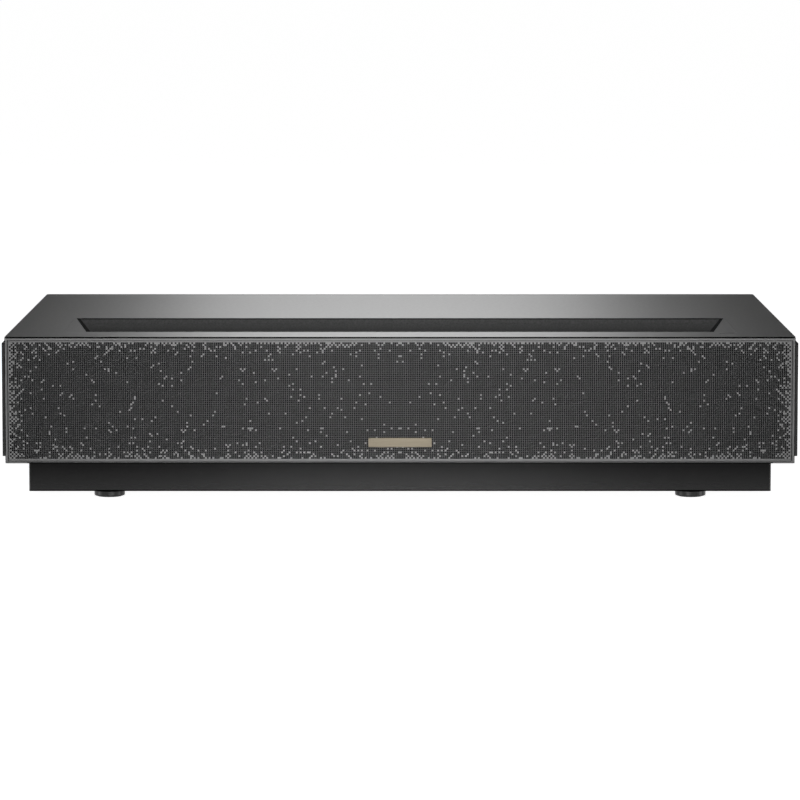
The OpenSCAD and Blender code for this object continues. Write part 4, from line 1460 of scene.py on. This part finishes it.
@dataclass
class Plinth:
    """The inset plinth, the steel chassis in it and the four levelling feet."""

    feet: tuple[str, ...] = ("front_left", "front_right", "rear_left", "rear_right")
    # Height of the painted shade at the plinth's bottom: black over its collars round the feet
    # and along its rounded lower edge
    painted_shade_height: float = 3.1 * MM
    # Specular levels just over the painted shade and at the top: the painted sheen fades upwards,
    # so the plinth reads darker under the frame's overhang
    shine: Pair = (0.25, 0.05)

    def dress(self) -> None:
        """Gives the plinth its plastic, the chassis its zinc and the feet metal and rubber."""
        low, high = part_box("base_cover")
        painted_shade_height = low.z + self.painted_shade_height
        # Painted shade: black at the bottom, and a sheen that fades upwards under the overhang
        dress(MouldedPlastic("satin black moulded ABS", "#121212", 0.25, 0.6, 0.002,
            stray=(0.01, 0.01), dull=(zone(z=(-FAR, painted_shade_height)),),
            painted_sheen_low=(painted_shade_height, self.shine[0]), matt=(high.z, self.shine[1])), "base_cover")
        dress(CHASSIS_STEEL, "chassis_plate")
        for foot in self.feet:
            dress(FOOT_METAL, foot + "_foot")
            dress(FOOT_RUBBER, foot + "_pad")


# ---- The studio ----


@dataclass(frozen=True)
class Lamp:
    """A rectangular softbox: its name, place, width and height, and power in watts."""

    name: str
    at: tuple[float, float, float]
    size: Pair
    watts: float


@dataclass
class Studio:
    """A pale floor, soft lamps and the camera."""

    # The camera's place, and how many degrees it looks down
    camera_at: tuple[float, float, float] = (0.0, -3.4786, 0.4245)
    camera_pitch: float = 6.03
    # The camera's focal length and the width of its sensor, in millimetres
    camera_lens: float = 195.4
    camera_sensor: float = 36.0
    floor_radius: float = 120.0
    floor_sides: int = 64
    floor_colour: str = "#e6e6e6"
    floor_roughness: float = 0.9
    floor_specular: float = 0.1
    # How bright the floor shows, where 1 is white, and how bright the room is
    floor_glow: float = 0.985
    ambient: float = 0.015
    lamps: tuple[Lamp, ...] = (
        Lamp("back softbox", (-0.026, 4.6, 1.0), (0.77, 1.1), 5.9),
        Lamp("rear softbox", (-0.012, 1.0, 0.8), (0.5, 0.3), 1.9),
        Lamp("overhead softbox", (-0.1, -0.1, 2.2), (1.6, 1.4), 1.2),
        Lamp("front softbox", (0.0, -2.9, 1.5), (1.6, 1.0), 14.0),
        Lamp("near softbox", (0.0, -0.46, 0.44), (0.25, 0.25), 1.4),
        Lamp("low softbox", (0.0, -0.8, 0.03), (0.3, 0.05), 0.95),
        Lamp("left strip", (-2.4, -0.55, 0.052), (0.5, 0.1), 13.0),
        Lamp("right strip", (2.4, -0.55, 0.052), (0.5, 0.1), 13.0),
    )

    def camera(self) -> None:
        """Sets the camera in front of the object, a little above it."""
        data = bpy.data.cameras.new("camera")
        data.lens = self.camera_lens
        data.sensor_width = self.camera_sensor
        # Far enough to take in the whole floor
        data.clip_end = 4 * self.floor_radius
        camera = show("camera", data)
        camera.location = self.camera_at
        camera.rotation_euler = (math.radians(90 - self.camera_pitch), 0.0, 0.0)
        bpy.context.scene.camera = camera

    def hang(self, lamp: Lamp) -> None:
        """Hangs a lamp so that it faces the middle of the object.

        Args:
            lamp: The lamp.
        """
        data = bpy.data.lights.new(lamp.name, "AREA")
        data.shape = "RECTANGLE"
        data.size, data.size_y = lamp.size
        data.energy = lamp.watts
        light = show(lamp.name, data)
        light.location = lamp.at
        low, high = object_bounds()
        aim = (Vector(low) + Vector(high)) / 2 - Vector(lamp.at)
        light.rotation_euler = aim.to_track_quat("-Z", "Y").to_euler()
        light.visible_camera = False

    def floor(self) -> None:
        """Lays a matt pale floor that reads white, and still takes the object's shadow."""
        disc = bmesh.new()
        bmesh.ops.create_circle(disc, cap_ends=True, segments=self.floor_sides,
            radius=self.floor_radius)
        floor = show_form("floor", disc)
        surface = Surface("matt white floor")
        surface.feed({"Base Color": linear(self.floor_colour), "Roughness": self.floor_roughness,
            "Specular IOR Level": self.floor_specular})
        seen = surface.rays("Is Camera Ray", "Is Glossy Ray", "Is Transmission Ray")
        # The glow shows to the camera, in gloss and through glass, and lights nothing
        glow = surface.add("ShaderNodeMath", {0: seen, 1: self.floor_glow}, operation="MULTIPLY")
        white = surface.add("ShaderNodeEmission", {"Strength": glow})
        both = surface.add("ShaderNodeAddShader", {0: surface.shader, 1: white})
        surface.connect(surface.output.inputs["Surface"], both)
        floor.data.materials.append(surface.material)
        floor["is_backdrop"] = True

    def world(self) -> None:
        """Fills the room with a dim even light, and shows white where the floor ends."""
        world = bpy.data.worlds.new("studio")
        world.use_nodes = True
        tree = Tree(world.node_tree)
        seen = tree.rays("Is Camera Ray", "Is Transmission Ray")
        level = tree.add("ShaderNodeMapRange", {"Value": seen, "To Min": self.ambient})
        sky = tree.add("ShaderNodeBackground", {"Color": (1.0, 1.0, 1.0, 1.0), "Strength": level})
        tree.add("ShaderNodeOutputWorld", {"Surface": sky})
        bpy.context.scene.world = world

    def build(self) -> None:
        """Sets up the floor, the room and the lamps."""
        bpy.context.scene.view_settings.view_transform = "Standard"
        self.floor()
        self.world()
        for lamp in self.lamps:
            self.hang(lamp)
        LOG.info("studio set up")


def main() -> None:
    """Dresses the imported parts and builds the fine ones."""
    logging.basicConfig(level=logging.INFO, format="%(name)s: %(message)s")
    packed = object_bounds()
    studio = Studio()
    studio.camera()
    grille = Grille()
    grille.sheet()
    grille.cloth()
    electronics = Electronics()
    electronics.build()
    Fasteners().build()
    for assembly in (Housing(), grille, LightWell(), Engine(), Sound(), electronics, Plinth()):
        assembly.dress()
        LOG.info("%s dressed", type(assembly).__name__)
    studio.build()
    sizes = {"cad": packed, "visual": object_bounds()}
    {name: [list(corner) for corner in box] for name, box in sizes.items()}


if __name__ == "__main__":
    main()
